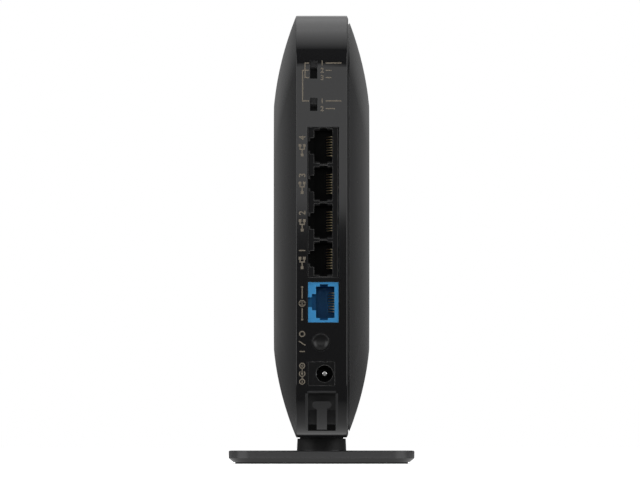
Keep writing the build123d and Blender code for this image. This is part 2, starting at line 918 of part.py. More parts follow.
# ---- push buttons ----
def power_button():
    cap = rod_y(power_x, power_z, power_cap_radius, rear - button_proud, rear_inner + flange_gap + flange_thickness)
    cap = fillet(cap.edges().sort_by(Axis.Y)[0], button_edge)
    flange = rod_y(power_x, power_z, power_cap_radius + flange_width, rear_inner + flange_gap,
                   rear_inner + flange_gap + flange_thickness)
    return cap + flange


def power_plunger_start():
    return rear_inner + flange_gap + flange_thickness


def power_plunger():
    start = power_plunger_start()
    collar_y = rear + power_switch_face + chamber_wall + contact_clearance
    rod = rod_y(power_x, power_z, plunger_radius, start, start + plunger_length)
    return rod + rod_y(power_x, power_z, collar_radius, collar_y, collar_y + collar_thickness)


def power_switch():
    face = rear + power_switch_face
    half = power_switch_width / 2
    end = face + power_switch_depth
    body = block(board_face, power_x + half, face, end, power_z - half, power_z + half)
    body -= rod_y(power_x, power_z, plunger_radius + plunger_clearance, face - beyond, face + chamber_wall + beyond)
    return body - rod_y(power_x, power_z, chamber_radius, face + chamber_wall, end - chamber_wall / 2)


def power_spring():
    face = rear + power_switch_face
    start = face + chamber_wall + collar_thickness + 4 * contact_clearance + spring_wire
    end = face + power_switch_depth - chamber_wall / 2 - 2 * contact_clearance - spring_wire
    radius = (plunger_radius + chamber_radius) / 2
    helix = Helix(pitch=(end - start) / spring_turns, height=end - start, radius=radius)
    section = Plane(origin=helix @ 0, z_dir=helix % 0) * Circle(spring_wire)
    coil = sweep(section, path=helix)
    return Pos(power_x, start, power_z) * Rot(-90, 0, 0) * coil


def wps_button():
    cap = oblong_y(0, wps_z, wps_cap_width, wps_cap_length, front_inner - flange_gap - flange_thickness,
                   front + button_proud)
    cap = fillet(cap.edges().group_by(Axis.Y)[-1], button_edge)
    grow = 2 * flange_width
    flange = oblong_y(0, wps_z, wps_cap_width + grow, wps_cap_length + grow,
                      front_inner - flange_gap - flange_thickness, front_inner - flange_gap)
    stem = block(tact_x - tact_stem_radius, tact_x + tact_stem_radius, tongue_front + tact_stem_proud,
                 front_inner - flange_gap, wps_z - tact_stem_radius, wps_z + tact_stem_radius)
    return cap + flange + stem


def tact_body():
    """A push switch that lies at the board's edge and is pressed along -Z, with its stem at the origin."""
    half = tact_length / 2
    left = board_face - tact_x
    body = block(left, left + tact_size, -half, half, -tact_size, 0)
    return body - rod_z(0, 0, tact_stem_radius + plunger_clearance, -tact_stem_depth - reset_travel * 3, beyond)


def tact_stem():
    return rod_z(0, 0, tact_stem_radius, -tact_stem_depth, tact_stem_proud)


def to_front_edge():
    return Pos(tact_x, tongue_front, wps_z) * Rot(-90, 0, 0)


def to_bottom_edge():
    return Pos(tact_x, reset_y, board_bottom) * Rot(180, 0, 180)


# ---- slide switches ----
def slide_cavity_half(window_length):
    return window_length / 2 + slide_flange


def slide_switch(z, window_length):
    face = board_rear
    cavity = slide_cavity_half(window_length)
    half = cavity + slide_skin
    knob_half = slide_knob_width / 2 + slide_side_clearance
    side_half = knob_half + slide_flange_side
    body = block(board_face, board_face + slide_body_height, face, face + slide_body_depth, z - half, z + half)
    body -= block(slide_x - side_half, slide_x + side_half, face + slide_skin,
                  face + slide_body_depth - slide_skin, z - cavity, z + cavity)
    window = window_length / 2
    return body - block(slide_x - knob_half, slide_x + knob_half, face - beyond, face + slide_skin + beyond,
                        z - window, z + window)


def slide_knob(z, window_length, knob_length, ridges):
    """A knob at the top end of its window, with a flange that keeps it in the switch."""
    top = z + window_length / 2 - slide_end_clearance
    low = top - knob_length
    half = slide_knob_width / 2
    side = half + slide_flange_side
    inner = board_rear + slide_skin + slide_side_clearance
    face = rear + slide_knob_recess
    knob = block(slide_x - half, slide_x + half, face + ridge_height, inner + slide_flange_depth, low, top)
    knob += block(slide_x - side, slide_x + side, inner, inner + slide_flange_depth,
                  low - slide_flange + slide_end_clearance, top + slide_flange - slide_end_clearance)
    step = (knob_length - ridge_width) / max(ridges - 1, 1)
    for i in range(ridges):
        ridge_low = low + i * step
        knob += block(slide_x - half, slide_x + half, face, face + ridge_height + fit_gap,
                      ridge_low, ridge_low + ridge_width)
    return knob


def crossed_knob(z, window_length, knob_length):
    """A ridged knob with a groove down its middle."""
    knob = slide_knob(z, window_length, knob_length, 2)
    face = rear + slide_knob_recess
    return knob - block(slide_x - ridge_width / 2, slide_x + ridge_width / 2, face - beyond,
                        face + ridge_height, z - window_length, z + window_length)


# ---- lamps ----
def status_lamps():
    half = lamp_length / 2
    return [
        block(board_face, board_face + lamp_rise, tongue_front - lamp_length, tongue_front, z - half, z + half)
        for z in lamp_heights
    ]


def light_guide():
    half = pipe_width / 2
    start = tongue_front + edge_round
    bar_start = front_inner - guide_bar_thickness - flange_gap
    guide = block(lamp_x - half, lamp_x + half, bar_start, bar_start + guide_bar_thickness,
                  lamp_heights[0] - half, lamp_heights[-1] + half)
    for z in lamp_heights:
        guide += block(lamp_x - half, lamp_x + half, start, front, z - half, z + half)
    return guide


# ---- cooling ----
def sink_pin_spots():
    reach = sink_size / 2 - edge_margin / 2
    return [(-reach, sink_z - reach), (reach, sink_z + reach)]


def main_chip():
    half = chip_size / 2
    return block(board_face, board_face + chip_thickness, -half, half, sink_z - half, sink_z + half)


def chip_pad():
    half = chip_size / 2
    low = board_face + chip_thickness
    return block(low, low + thermal_pad_thickness, -half, half, sink_z - half, sink_z + half)


def heat_sink():
    low = board_face + chip_thickness + thermal_pad_thickness
    half = sink_size / 2
    fin_low = low + sink_base
    sink = block(low, fin_low, -half, half, sink_z - half, sink_z + half)
    step = (sink_size - sink_fin_thickness) / (sink_fins - 1)
    for i in range(sink_fins):
        y = -half + i * step
        sink += block(fin_low - fit_gap, fin_low + sink_fin_height, y, y + sink_fin_thickness,
                      sink_z - half, sink_z + half)
    for y, z in sink_pin_spots():
        clearance = sink_pin_radius + screw_hole_clearance
        sink -= rod_x(y, z, clearance, low - beyond, fin_low + sink_fin_height + beyond)
        sink -= rod_x(y, z, screw_head_radius + clearance - sink_pin_radius, fin_low,
                      fin_low + sink_fin_height + beyond)
    return sink


def sink_pins():
    """Push pins that hold the heat sink down on the chip."""
    top = board_face + chip_thickness + thermal_pad_thickness + sink_base
    pins = []
    for y, z in sink_pin_spots():
        pin = rod_x(y, z, sink_pin_radius, board_back - screw_head_height / 2, top)
        pins.append(pin + rod_x(y, z, screw_head_radius, top, top + screw_head_height))
    return pins


def spreader_limits():
    return -sink_size / 2, board_front - edge_margin * 2, sink_z - sink_size / 2, sink_z + sink_size / 2


def spreader_pad():
    y0, y1, z0, z1 = spreader_limits()
    margin = edge_margin + screw_head_radius
    return block(board_back - spreader_pad_thickness, board_back, y0 + margin, y1 - margin, z0 + margin,
                 z1 - margin)


def heat_spreader():
    y0, y1, z0, z1 = spreader_limits()
    outer = board_back - spreader_pad_thickness
    plate = block(outer - spreader_thickness, outer, y0, y1, z0, z1)
    return fillet(plate.edges().filter_by(Axis.X), edge_margin / 2)


# ---- other parts on the board ----
def board_box(y, z, width_y, width_z, height, lift=0.0):
    """A box-shaped component centred at y, z on the board's face."""
    low = board_face + lift
    return block(low, low + height, y - width_y / 2, y + width_y / 2, z - width_z / 2, z + width_z / 2)


def shield_spots():
    return [(22.0, board_main_top - 23.0, 28.0, 20.0), (board_front - 15.0, sink_z - 6.0, 22.0, 26.0)]


def shields():
    cans = []
    for y, z, width_y, width_z in shield_spots():
        can = board_box(y, z, width_y, width_z, shield_height)
        inner = board_box(y, z, width_y - 2 * shield_skin, width_z - 2 * shield_skin,
                          shield_height - shield_skin + beyond, -beyond)
        cans.append(can - inner)
    return cans


def radio_chips():
    size = 9.0
    return [board_box(y, z, size, size, chip_thickness) for y, z, _, _ in shield_spots()]


def memory_chips():
    ram = board_box(-31.0, sink_z + 6.0, 9.0, 13.0, chip_thickness)
    flash = board_box(-31.0, sink_z - 12.0, 6.0, 8.0, chip_thickness)
    return [ram, flash]


def magnetics():
    y = jack_back + magnetics_gap + magnetics_depth / 2
    return [board_box(y, z, magnetics_depth, magnetics_width, magnetics_height)
            for z in lan_heights + [internet_z]]


def capacitors():
    spots = ((-53.0, 36.0, 3.15, 7.7), (-45.0, 36.0, 3.15, 7.7), (-45.0, 28.0, 2.5, 6.0))
    return [rod_x(y, z, radius, board_face, board_face + height) for y, z, radius, height in spots]


def inductors():
    spots = ((-34.0, 37.0), (-34.0, 27.0), (-22.0, 32.0))
    parts = []
    for y, z in spots:
        coil = board_box(y, z, 7.0, 7.0, 3.0)
        parts.append(fillet(coil.edges().filter_by(Axis.X), 1.0))
    return parts


def crystals():
    spots = ((-20.0, sink_z + sink_size / 2 + 6.0), (board_front - 5.0, sink_z + 16.0))
    return [board_box(y, z, 5.0, 3.2, 1.1) for y, z in spots]


# ---- antennas ----
def antennas():
    parts = []
    for limits_y, limits_z, along in antenna_boards:
        part = block(antenna_back, antenna_face, limits_y[0], limits_y[1], limits_z[0], limits_z[1])
        for y, z in peg_spots(limits_y, limits_z, along):
            part -= rod_x(y, z, antenna_peg_radius + antenna_peg_clearance, antenna_back - beyond,
                          antenna_face + beyond)
        parts.append(part)
    return parts


def corner_radii(points):
    """The largest radius that each corner's two runs allow."""
    radii = []
    for before, corner, after in zip(points, points[1:], points[2:]):
        run_in = Vector(*corner) - Vector(*before)
        run_out = Vector(*after) - Vector(*corner)
        half_turn = math.radians(run_in.get_angle(run_out)) / 2
        radii.append(0.45 * min(run_in.length, run_out.length) / math.tan(half_turn))
    return radii


def antenna_leads():
    leads = []
    for route in lead_routes:
        points = [(lead_x, y, z) for y, z in route]
        radii = corner_radii(points)
        print("lead radii", [round(radius, 1) for radius in radii])
        path = FilletPolyline(*points, radius=radii)
        leads.append(sweep(Plane(path ^ 0) * Circle(lead_radius), path=path))
    return leads


def antenna_plugs():
    """Coaxial plugs on the board, each at the end of its lead."""
    plugs = []
    top = lead_x + lead_radius + plug_proud
    half = plug_size / 2
    for route in lead_routes:
        y, z = route[-1]
        side = 1 if route[-1][0] > route[-2][0] else -1
        y0, y1 = sorted((y, y + side * plug_size))
        plugs.append(block(board_face, top, y0, y1, z - half, z + half))
    return plugs


# ---- build every piece ----
outer = outer_body()
shell = outer - inner_space()

save("main_case", main_case(outer, shell))
save("side_cover", side_cover(outer, shell))
save("cover_screws", *cover_screws())
save("stand", stand())
save("stand_pad", stand_pad())
save("main_board", main_board())
save("board_screws", *board_screws())
save("lan_jack", lan_jack())
save("lan_contacts", *contacts(lan_left, lan_heights))
save("internet_jack", internet_jack())
save("internet_contacts", *contacts(internet_left, [internet_z]))
save("dc_jack", dc_jack())
save("dc_centre_pin", dc_centre_pin())
save("dc_leaf_contact", dc_leaf())
save("power_button", power_button())
save("power_plunger", power_plunger())
save("power_switch", power_switch())
save("power_spring", power_spring())
save("mode_switch", slide_switch(mode_z, mode_window_length))
save("mode_knob", slide_knob(mode_z, mode_window_length, mode_knob_length, mode_knob_ridges))
save("auto_switch", slide_switch(auto_z, auto_window_length))
save("auto_knob", crossed_knob(auto_z, auto_window_length, auto_knob_length))
save("wps_button", wps_button())
save("wps_switch", to_front_edge() * tact_body())
save("wps_switch_stem", to_front_edge() * tact_stem())
save("reset_switch", to_bottom_edge() * tact_body())
save("reset_switch_stem", to_bottom_edge() * tact_stem())
save("status_lamps", *status_lamps())
save("light_guide", light_guide())
save("main_chip", main_chip())
save("chip_pad", chip_pad())
save("heat_sink", heat_sink())
save("heat_sink_pins", *sink_pins())
save("heat_spreader", heat_spreader())
save("spreader_pad", spreader_pad())
save("memory_chips", *memory_chips())
save("radio_chips", *radio_chips())
save("radio_shields", *shields())
save("line_transformers", *magnetics())
save("capacitors", *capacitors())
save("inductors", *inductors())
save("crystals", *crystals())
save("antennas", *antennas())
save("antenna_leads", *antenna_leads())
save("antenna_plugs", *antenna_plugs())
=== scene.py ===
import json
import math

import bmesh
import bpy
from mathutils import Matrix, Vector


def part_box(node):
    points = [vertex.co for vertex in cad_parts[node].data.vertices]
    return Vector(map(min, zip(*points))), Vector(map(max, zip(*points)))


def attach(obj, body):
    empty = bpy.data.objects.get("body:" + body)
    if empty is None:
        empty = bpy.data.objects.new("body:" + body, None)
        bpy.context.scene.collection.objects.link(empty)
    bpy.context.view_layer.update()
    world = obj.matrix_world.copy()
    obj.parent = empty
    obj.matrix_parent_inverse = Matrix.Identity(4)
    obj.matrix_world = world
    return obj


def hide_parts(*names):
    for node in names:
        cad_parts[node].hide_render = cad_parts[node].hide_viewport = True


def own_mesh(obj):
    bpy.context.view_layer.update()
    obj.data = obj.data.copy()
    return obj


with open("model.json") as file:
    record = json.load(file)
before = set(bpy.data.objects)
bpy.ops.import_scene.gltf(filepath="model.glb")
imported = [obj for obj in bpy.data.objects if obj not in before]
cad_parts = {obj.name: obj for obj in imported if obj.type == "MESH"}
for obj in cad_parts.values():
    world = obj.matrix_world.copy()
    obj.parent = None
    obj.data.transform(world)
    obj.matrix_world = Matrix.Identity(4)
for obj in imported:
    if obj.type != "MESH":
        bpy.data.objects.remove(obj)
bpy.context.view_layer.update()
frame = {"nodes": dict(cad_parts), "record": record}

mm = 0.001
scene = bpy.context.scene
cadNodes = frame["nodes"]
print("frame loaded:", len(cadNodes), "nodes")


# ---- node helpers, for shader and geometry trees alike

def addNode(tree, kind, inputs=None, **settings):
    node = tree.nodes.new(kind)
    for name, value in settings.items():
        setattr(node, name, value)
    for name, value in (inputs or {}).items():
        if isinstance(value, bpy.types.NodeSocket):
            tree.links.new(value, node.inputs[name])
        else:
            node.inputs[name].default_value = value
    return node


def calc(tree, operation, a, b=None, c=None):
    values = {0: a}
    if b is not None:
        values[1] = b
    if c is not None:
        values[2] = c
    return addNode(tree, "ShaderNodeMath", values, operation=operation).outputs[0]


def ramp(tree, value, low, high, toLow=0.0, toHigh=1.0):
    inputs = {"Value": value, "From Min": low, "From Max": high, "To Min": toLow, "To Max": toHigh}
    return addNode(tree, "ShaderNodeMapRange", inputs, clamp=True).outputs[0]


def mixNumber(tree, mask, a, b):
    return addNode(tree, "ShaderNodeMix", {0: mask, 2: a, 3: b}, data_type="FLOAT").outputs[0]


def mixColor(tree, mask, a, b):
    return addNode(tree, "ShaderNodeMix", {0: mask, 6: a, 7: b}, data_type="RGBA").outputs[2]


def axisOf(tree, place, axis):
    return addNode(tree, "ShaderNodeSeparateXYZ", {0: place}).outputs[axis]


def newGroup(name, inputs, outputs):
    group = bpy.data.node_groups.new(name, "ShaderNodeTree")
    for label, kind, value in inputs:
        socket = group.interface.new_socket(label, in_out="INPUT", socket_type=kind)
        if value is not None:
            socket.default_value = value
    for label, kind in outputs:
        group.interface.new_socket(label, in_out="OUTPUT", socket_type=kind)
    return group, addNode(group, "NodeGroupInput").outputs, addNode(group, "NodeGroupOutput").inputs


def useGroup(tree, group, inputs):
    node = tree.nodes.new("ShaderNodeGroup")
    node.node_tree = group
    for name, value in inputs.items():
        if isinstance(value, bpy.types.NodeSocket):
            tree.links.new(value, node.inputs[name])
        else:
            node.inputs[name].default_value = value
    return node.outputs


# ---- shared effects

def makeMouldGrain():
    # the faint texture of a moulded skin, and the slow change of its gloss
    group, given, out = newGroup(
        "mouldGrain",
        [("Vector", "NodeSocketVector", None), ("Scale", "NodeSocketFloat", 2500.0),
         ("Base", "NodeSocketFloat", 0.3), ("Spread", "NodeSocketFloat", 0.05)],
        [("Height", "NodeSocketFloat"), ("Roughness", "NodeSocketFloat")])
    fine = addNode(group, "ShaderNodeTexNoise", {"Vector": given["Vector"], "Scale": given["Scale"], "Detail": 2.0})
    broad = addNode(group, "ShaderNodeTexNoise", {"Vector": given["Vector"], "Scale": 45.0, "Detail": 3.0})
    swing = calc(group, "SUBTRACT", broad.outputs[0], 0.5)
    swing = calc(group, "MULTIPLY_ADD", swing, given["Spread"], given["Base"])
    group.links.new(fine.outputs[0], out["Height"])
    group.links.new(swing, out["Roughness"])
    return group


def makePaintedEdgeHighlight():
    # 1 along sharp edges, in uneven patches, for a painted highlight where an edge would catch light
    group, given, out = newGroup(
        "paintedEdgeHighlight",
        [("Vector", "NodeSocketVector", None), ("Width", "NodeSocketFloat", 0.0002),
         ("Amount", "NodeSocketFloat", 1.0)],
        [("Mask", "NodeSocketFloat")])
    rounded = addNode(group, "ShaderNodeBevel", {"Radius": given["Width"]}, samples=4)
    flat = addNode(group, "ShaderNodeNewGeometry")
    dot = addNode(group, "ShaderNodeVectorMath", {0: rounded.outputs[0], 1: flat.outputs["Normal"]},
                  operation="DOT_PRODUCT").outputs["Value"]
    edge = ramp(group, dot, 0.998, 0.93)
    patches = addNode(group, "ShaderNodeTexNoise", {"Vector": given["Vector"], "Scale": 260.0, "Detail": 3.0})
    uneven = ramp(group, patches.outputs[0], 0.3, 0.6, 0.45, 1.0)
    group.links.new(calc(group, "MULTIPLY", calc(group, "MULTIPLY", edge, uneven), given["Amount"]), out["Mask"])
    return group


def makeSettledDust():
    # a thin film on what faces up
    group, given, out = newGroup(
        "settledDust",
        [("Vector", "NodeSocketVector", None), ("Amount", "NodeSocketFloat", 0.1)],
        [("Mask", "NodeSocketFloat")])
    facing = addNode(group, "ShaderNodeNewGeometry")
    up = axisOf(group, facing.outputs["Normal"], "Z")
    specks = addNode(group, "ShaderNodeTexNoise", {"Vector": given["Vector"], "Scale": 900.0, "Detail": 4.0})
    film = calc(group, "MULTIPLY", ramp(group, up, 0.55, 1.0), ramp(group, specks.outputs[0], 0.4, 0.75))
    group.links.new(calc(group, "MULTIPLY", film, given["Amount"]), out["Mask"])
    return group


def makeBrushing():
    # fine parallel scratches, stretched along one axis by Stretch
    group, given, out = newGroup(
        "brushing",
        [("Vector", "NodeSocketVector", None), ("Stretch", "NodeSocketVector", (1.0, 1.0, 12.0)),
         ("Base", "NodeSocketFloat", 0.3), ("Spread", "NodeSocketFloat", 0.15)],
        [("Height", "NodeSocketFloat"), ("Roughness", "NodeSocketFloat")])
    stretched = addNode(group, "ShaderNodeVectorMath", {0: given["Vector"], 1: given["Stretch"]},
                        operation="MULTIPLY")
    lines = addNode(group, "ShaderNodeTexNoise", {"Vector": stretched.outputs[0], "Scale": 700.0, "Detail": 3.0})
    swing = calc(group, "SUBTRACT", lines.outputs[0], 0.5)
    group.links.new(lines.outputs[0], out["Height"])
    group.links.new(calc(group, "MULTIPLY_ADD", swing, given["Spread"], given["Base"]), out["Roughness"])
    return group


mouldGrain = makeMouldGrain()
paintedEdgeHighlight = makePaintedEdgeHighlight()
settledDust = makeSettledDust()
brushing = makeBrushing()


# ---- materials

def startMaterial(name):
    material = bpy.data.materials.new(name)
    material.use_nodes = True
    tree = material.node_tree
    place = addNode(tree, "ShaderNodeTexCoord").outputs["Object"]
    return material, tree, tree.nodes["Principled BSDF"], place


def setBump(tree, shader, height, strength, distance):
    bump = addNode(tree, "ShaderNodeBump", {"Height": height, "Strength": strength, "Distance": distance})
    tree.links.new(bump.outputs[0], shader.inputs["Normal"])


# bump distances in metres; the others are shares or mm
skinSettings = {"plasticBump": 0.00005, "metalBump": 0.00002, "metalGrain": 0.1, "edgeWidth": 0.15,
                "dust": (0.35, 0.34, 0.32)}


def plastic(name, color, rough=0.4, spread=0.08, grain=0.15, scale=2500.0, edge=0.0, edgeColor=(0.1, 0.1, 0.1),
            specular=0.5):
    material, tree, shader, place = startMaterial(name)
    skin = useGroup(tree, mouldGrain, {"Vector": place, "Scale": scale, "Base": rough, "Spread": spread})
    tree.links.new(skin["Roughness"], shader.inputs["Roughness"])
    setBump(tree, shader, skin["Height"], grain, skinSettings["plasticBump"])
    shader.inputs["Specular IOR Level"].default_value = specular
    tone = addNode(tree, "ShaderNodeTexNoise", {"Vector": place, "Scale": 60.0, "Detail": 2.0})
    tint = mixColor(tree, tone.outputs[0], (*[c * 0.88 for c in color], 1), (*[c * 1.12 for c in color], 1))
    # where edge is set, a lighter edgeColor is painted along sharp edges as a painted highlight
    if edge:
        highlightMask = useGroup(tree, paintedEdgeHighlight, {"Vector": place, "Width": skinSettings["edgeWidth"] * mm, "Amount": edge})
        tint = mixColor(tree, highlightMask["Mask"], tint, (*edgeColor, 1))
    tree.links.new(tint, shader.inputs["Base Color"])
    return material


def metal(name, color, rough=0.3, spread=0.15, stretch=(1.0, 1.0, 12.0)):
    material, tree, shader, place = startMaterial(name)
    lines = useGroup(tree, brushing, {"Vector": place, "Stretch": stretch, "Base": rough, "Spread": spread})
    shader.inputs["Metallic"].default_value = 1.0
    tree.links.new(lines["Roughness"], shader.inputs["Roughness"])
    setBump(tree, shader, lines["Height"], skinSettings["metalGrain"], skinSettings["metalBump"])
    tarnish = addNode(tree, "ShaderNodeTexNoise", {"Vector": place, "Scale": 220.0, "Detail": 3.0})
    tint = mixColor(tree, ramp(tree, tarnish.outputs[0], 0.35, 0.75), (*color, 1), (*[c * 0.82 for c in color], 1))
    tree.links.new(tint, shader.inputs["Base Color"])
    return material


shellSettings = {
    "color": (0.0085, 0.0085, 0.0092),
    "bandHalf": 9.72,              # mm, half the polished band
    "bandBlend": 0.02,
    "pocketDepths": (-79.7, -70.5),    # mm along Y
    "pocketTop": 29.0,
    "pocketHalf": 6.2,
    "bandRough": 0.06,
    "flankRough": 0.27,
    "pocketRough": 0.55,
    # pocketColor: lighter than the shell, painted light on the cable pocket's floor
    "pocketColor": (0.032, 0.032, 0.033),
    # edgeColor: painted highlight along the shell's sharp edges
    "edgeColor": (0.12, 0.12, 0.125),
}


def shellMaterial():
    # polished band round the rim, satin flanks, matt inside the cable pocket, whose lighter colour is painted light
    # on its floor
    s = shellSettings
    material, tree, shader, place = startMaterial("shellBlack")
    x, y, z = addNode(tree, "ShaderNodeSeparateXYZ", {0: place}).outputs
    away = calc(tree, "ABSOLUTE", x)
    flank = ramp(tree, away, (s["bandHalf"] - s["bandBlend"]) * mm, (s["bandHalf"] + s["bandBlend"]) * mm)
    front, back = s["pocketDepths"]
    inPocket = calc(tree, "GREATER_THAN", y, front * mm)
    for side, limit in ((y, back), (z, s["pocketTop"]), (away, s["pocketHalf"])):
        inPocket = calc(tree, "MULTIPLY", inPocket, calc(tree, "LESS_THAN", side, limit * mm))
    polished = useGroup(tree, mouldGrain, {"Vector": place, "Scale": 600.0, "Base": s["bandRough"], "Spread": 0.03})
    satin = useGroup(tree, mouldGrain, {"Vector": place, "Scale": 4200.0, "Base": s["flankRough"], "Spread": 0.05})
    rough = mixNumber(tree, flank, polished["Roughness"], satin["Roughness"])
    rough = mixNumber(tree, inPocket, rough, s["pocketRough"])
    tree.links.new(rough, shader.inputs["Roughness"])
    height = mixNumber(tree, flank, 0.5, satin["Height"])
    setBump(tree, shader, height, 0.10, 0.00003)
    # painted highlight: edgeColor is painted along the band's sharp edges where they would catch light
    highlightMask = useGroup(tree, paintedEdgeHighlight, {"Vector": place, "Width": 0.2 * mm, "Amount": 0.8})
    film = useGroup(tree, settledDust, {"Vector": place, "Amount": 0.04})
    # painted light: the cable pocket takes the lighter pocketColor
    tint = mixColor(tree, inPocket, (*s["color"], 1), (*s["pocketColor"], 1))
    tint = mixColor(tree, highlightMask["Mask"], tint, (*s["edgeColor"], 1))
    tint = mixColor(tree, film["Mask"], tint, (0.3, 0.3, 0.29, 1))
    tree.links.new(tint, shader.inputs["Base Color"])
    return material


boardSettings = {
    # rim: painted shade, near black, along the socket panel
    "mask": (0.012, 0.085, 0.035), "trace": (0.03, 0.16, 0.07), "rim": (0.003, 0.0045, 0.0035),
    "traceScale": 210.0, "rimFrom": (-74.5, -75.5),
}


def boardMaterial(name="boardGreen"):
    # solder mask with copper runs showing through as a lighter green, and painted shade darkening it along the socket
    # panel
    s = boardSettings
    material, tree, shader, place = startMaterial(name)
    cells = addNode(tree, "ShaderNodeTexVoronoi", {"Vector": place, "Scale": s["traceScale"]},
                    distance="CHEBYCHEV")
    bands = calc(tree, "PINGPONG", calc(tree, "MULTIPLY", cells.outputs["Distance"], 6.0), 1.0)
    runs = ramp(tree, bands, 0.45, 0.55)
    tint = mixColor(tree, runs, (*s["mask"], 1), (*s["trace"], 1))
    # painted shade: the board darkens towards the socket panel
    inner, outer = s["rimFrom"]
    rim = ramp(tree, axisOf(tree, place, "Y"), inner * mm, outer * mm)
    tint = mixColor(tree, rim, tint, (*s["rim"], 1))
    tree.links.new(tint, shader.inputs["Base Color"])
    skin = useGroup(tree, mouldGrain, {"Vector": place, "Scale": 1500.0, "Base": 0.38, "Spread": 0.1})
    tree.links.new(skin["Roughness"], shader.inputs["Roughness"])
    setBump(tree, shader, runs, 0.3, 0.00003)
    return material


def clearMaterial(name, color, rough):
    material, tree, shader, place = startMaterial(name)
    skin = useGroup(tree, mouldGrain, {"Vector": place, "Scale": 700.0, "Base": rough, "Spread": 0.06})
    tree.links.new(skin["Roughness"], shader.inputs["Roughness"])
    setBump(tree, shader, skin["Height"], 0.05, 0.00003)
    shader.inputs["Base Color"].default_value = (*color, 1)
    shader.inputs["Transmission Weight"].default_value = 0.75
    shader.inputs["IOR"].default_value = 1.49
    return material


lampSettings = {"lensFrom": (69.0, 69.8), "base": (0.6, 0.62, 0.58), "lens": (0.22, 0.75, 0.30)}


def lampMaterial():
    # a pale base and a tinted lens at its front
    s = lampSettings
    material, tree, shader, place = startMaterial("lampGreen")
    skin = useGroup(tree, mouldGrain, {"Vector": place, "Scale": 1800.0, "Base": 0.25, "Spread": 0.06})
    tree.links.new(skin["Roughness"], shader.inputs["Roughness"])
    start, end = s["lensFrom"]
    lens = ramp(tree, axisOf(tree, place, "Y"), start * mm, end * mm)
    tint = mixColor(tree, lens, (*s["base"], 1), (*s["lens"], 1))
    tree.links.new(tint, shader.inputs["Base Color"])
    return material


jackDepths = (-79.3, -78.2)    # mm along Y, where a socket's face turns into its inside
# face: the moulded colour; edge: painted highlight along sharp edges; inside: painted shade within the openings
jackSettings = {
    "jackBlue": {"face": (0.062, 0.37, 0.78), "inside": (0.012, 0.20, 0.46), "edge": (0.20, 0.58, 0.95),
                 "rough": 0.36, "edgeWidth": 0.22, "edgeAmount": 0.8, "specular": 0.25},
    "jackBlack": {"face": (0.011, 0.011, 0.0115), "inside": (0.0022, 0.0022, 0.0022), "edge": (0.26, 0.26, 0.255),
                  "rough": 0.45, "edgeWidth": 0.26, "edgeAmount": 1.0, "specular": 0.12},
}


def jackMaterial(name):
    # a moulded face with painted highlights along its edges, and painted shade inside its openings
    s = jackSettings[name]
    material, tree, shader, place = startMaterial(name)
    depth = ramp(tree, axisOf(tree, place, "Y"), jackDepths[0] * mm, jackDepths[1] * mm)
    shader.inputs["Specular IOR Level"].default_value = s["specular"]
    skin = useGroup(tree, mouldGrain, {"Vector": place, "Scale": 2500.0, "Base": s["rough"], "Spread": 0.08})
    tree.links.new(skin["Roughness"], shader.inputs["Roughness"])
    setBump(tree, shader, skin["Height"], 0.12, 0.00004)
    highlightMask = useGroup(tree, paintedEdgeHighlight, {"Vector": place, "Width": s["edgeWidth"] * mm, "Amount": s["edgeAmount"]})
    tint = mixColor(tree, highlightMask["Mask"], (*s["face"], 1), (*s["edge"], 1))
    # painted shade: past jackDepths the socket turns to its darker inside colour
    tint = mixColor(tree, depth, tint, (*s["inside"], 1))
    tree.links.new(tint, shader.inputs["Base Color"])
    return material


inletSettings = {
    "plating": (0.82, 0.82, 0.81), "root": (0.02, 0.02, 0.02), "rootFrom": (-71.6, -70.6),
    "rootRough": 0.7, "rootMetal": 0.2,
}


def inletMaterial():
    # bright plating on the inlet's pin, dull at its root
    s = inletSettings
    material, tree, shader, place = startMaterial("contactNickel")
    start, end = s["rootFrom"]
    root = ramp(tree, axisOf(tree, place, "Y"), start * mm, end * mm)
    lines = useGroup(tree, brushing, {"Vector": place, "Stretch": (1.0, 1.0, 1.0), "Base": 0.16, "Spread": 0.08})
    tree.links.new(mixNumber(tree, root, lines["Roughness"], s["rootRough"]), shader.inputs["Roughness"])
    tree.links.new(mixNumber(tree, root, 1.0, s["rootMetal"]), shader.inputs["Metallic"])
    setBump(tree, shader, lines["Height"], skinSettings["metalGrain"], skinSettings["metalBump"])
    tint = mixColor(tree, root, (*s["plating"], 1), (*s["root"], 1))
    tree.links.new(tint, shader.inputs["Base Color"])
    return material


standSettings = {
    # top: the plate's colour; rim: painted light on the upright side; chamfer: painted shade on the bevel below;
    # neck: painted shadow; edge: painted highlight
    "top": (0.0085, 0.0085, 0.009), "rim": (0.058, 0.058, 0.059), "chamfer": (0.005, 0.005, 0.0052),
    "neck": (0.007, 0.007, 0.0073), "edge": (0.05, 0.05, 0.052), "rough": 0.24, "neckRough": 0.6,
    # heights in mm, over which one painted tone gives way to the next, and at the neck the roughness too
    "neckFrom": (5.05, 5.3), "rimFrom": (2.0, 2.2), "rimTo": (4.75, 4.6), "chamferTo": (2.1, 2.0),
}


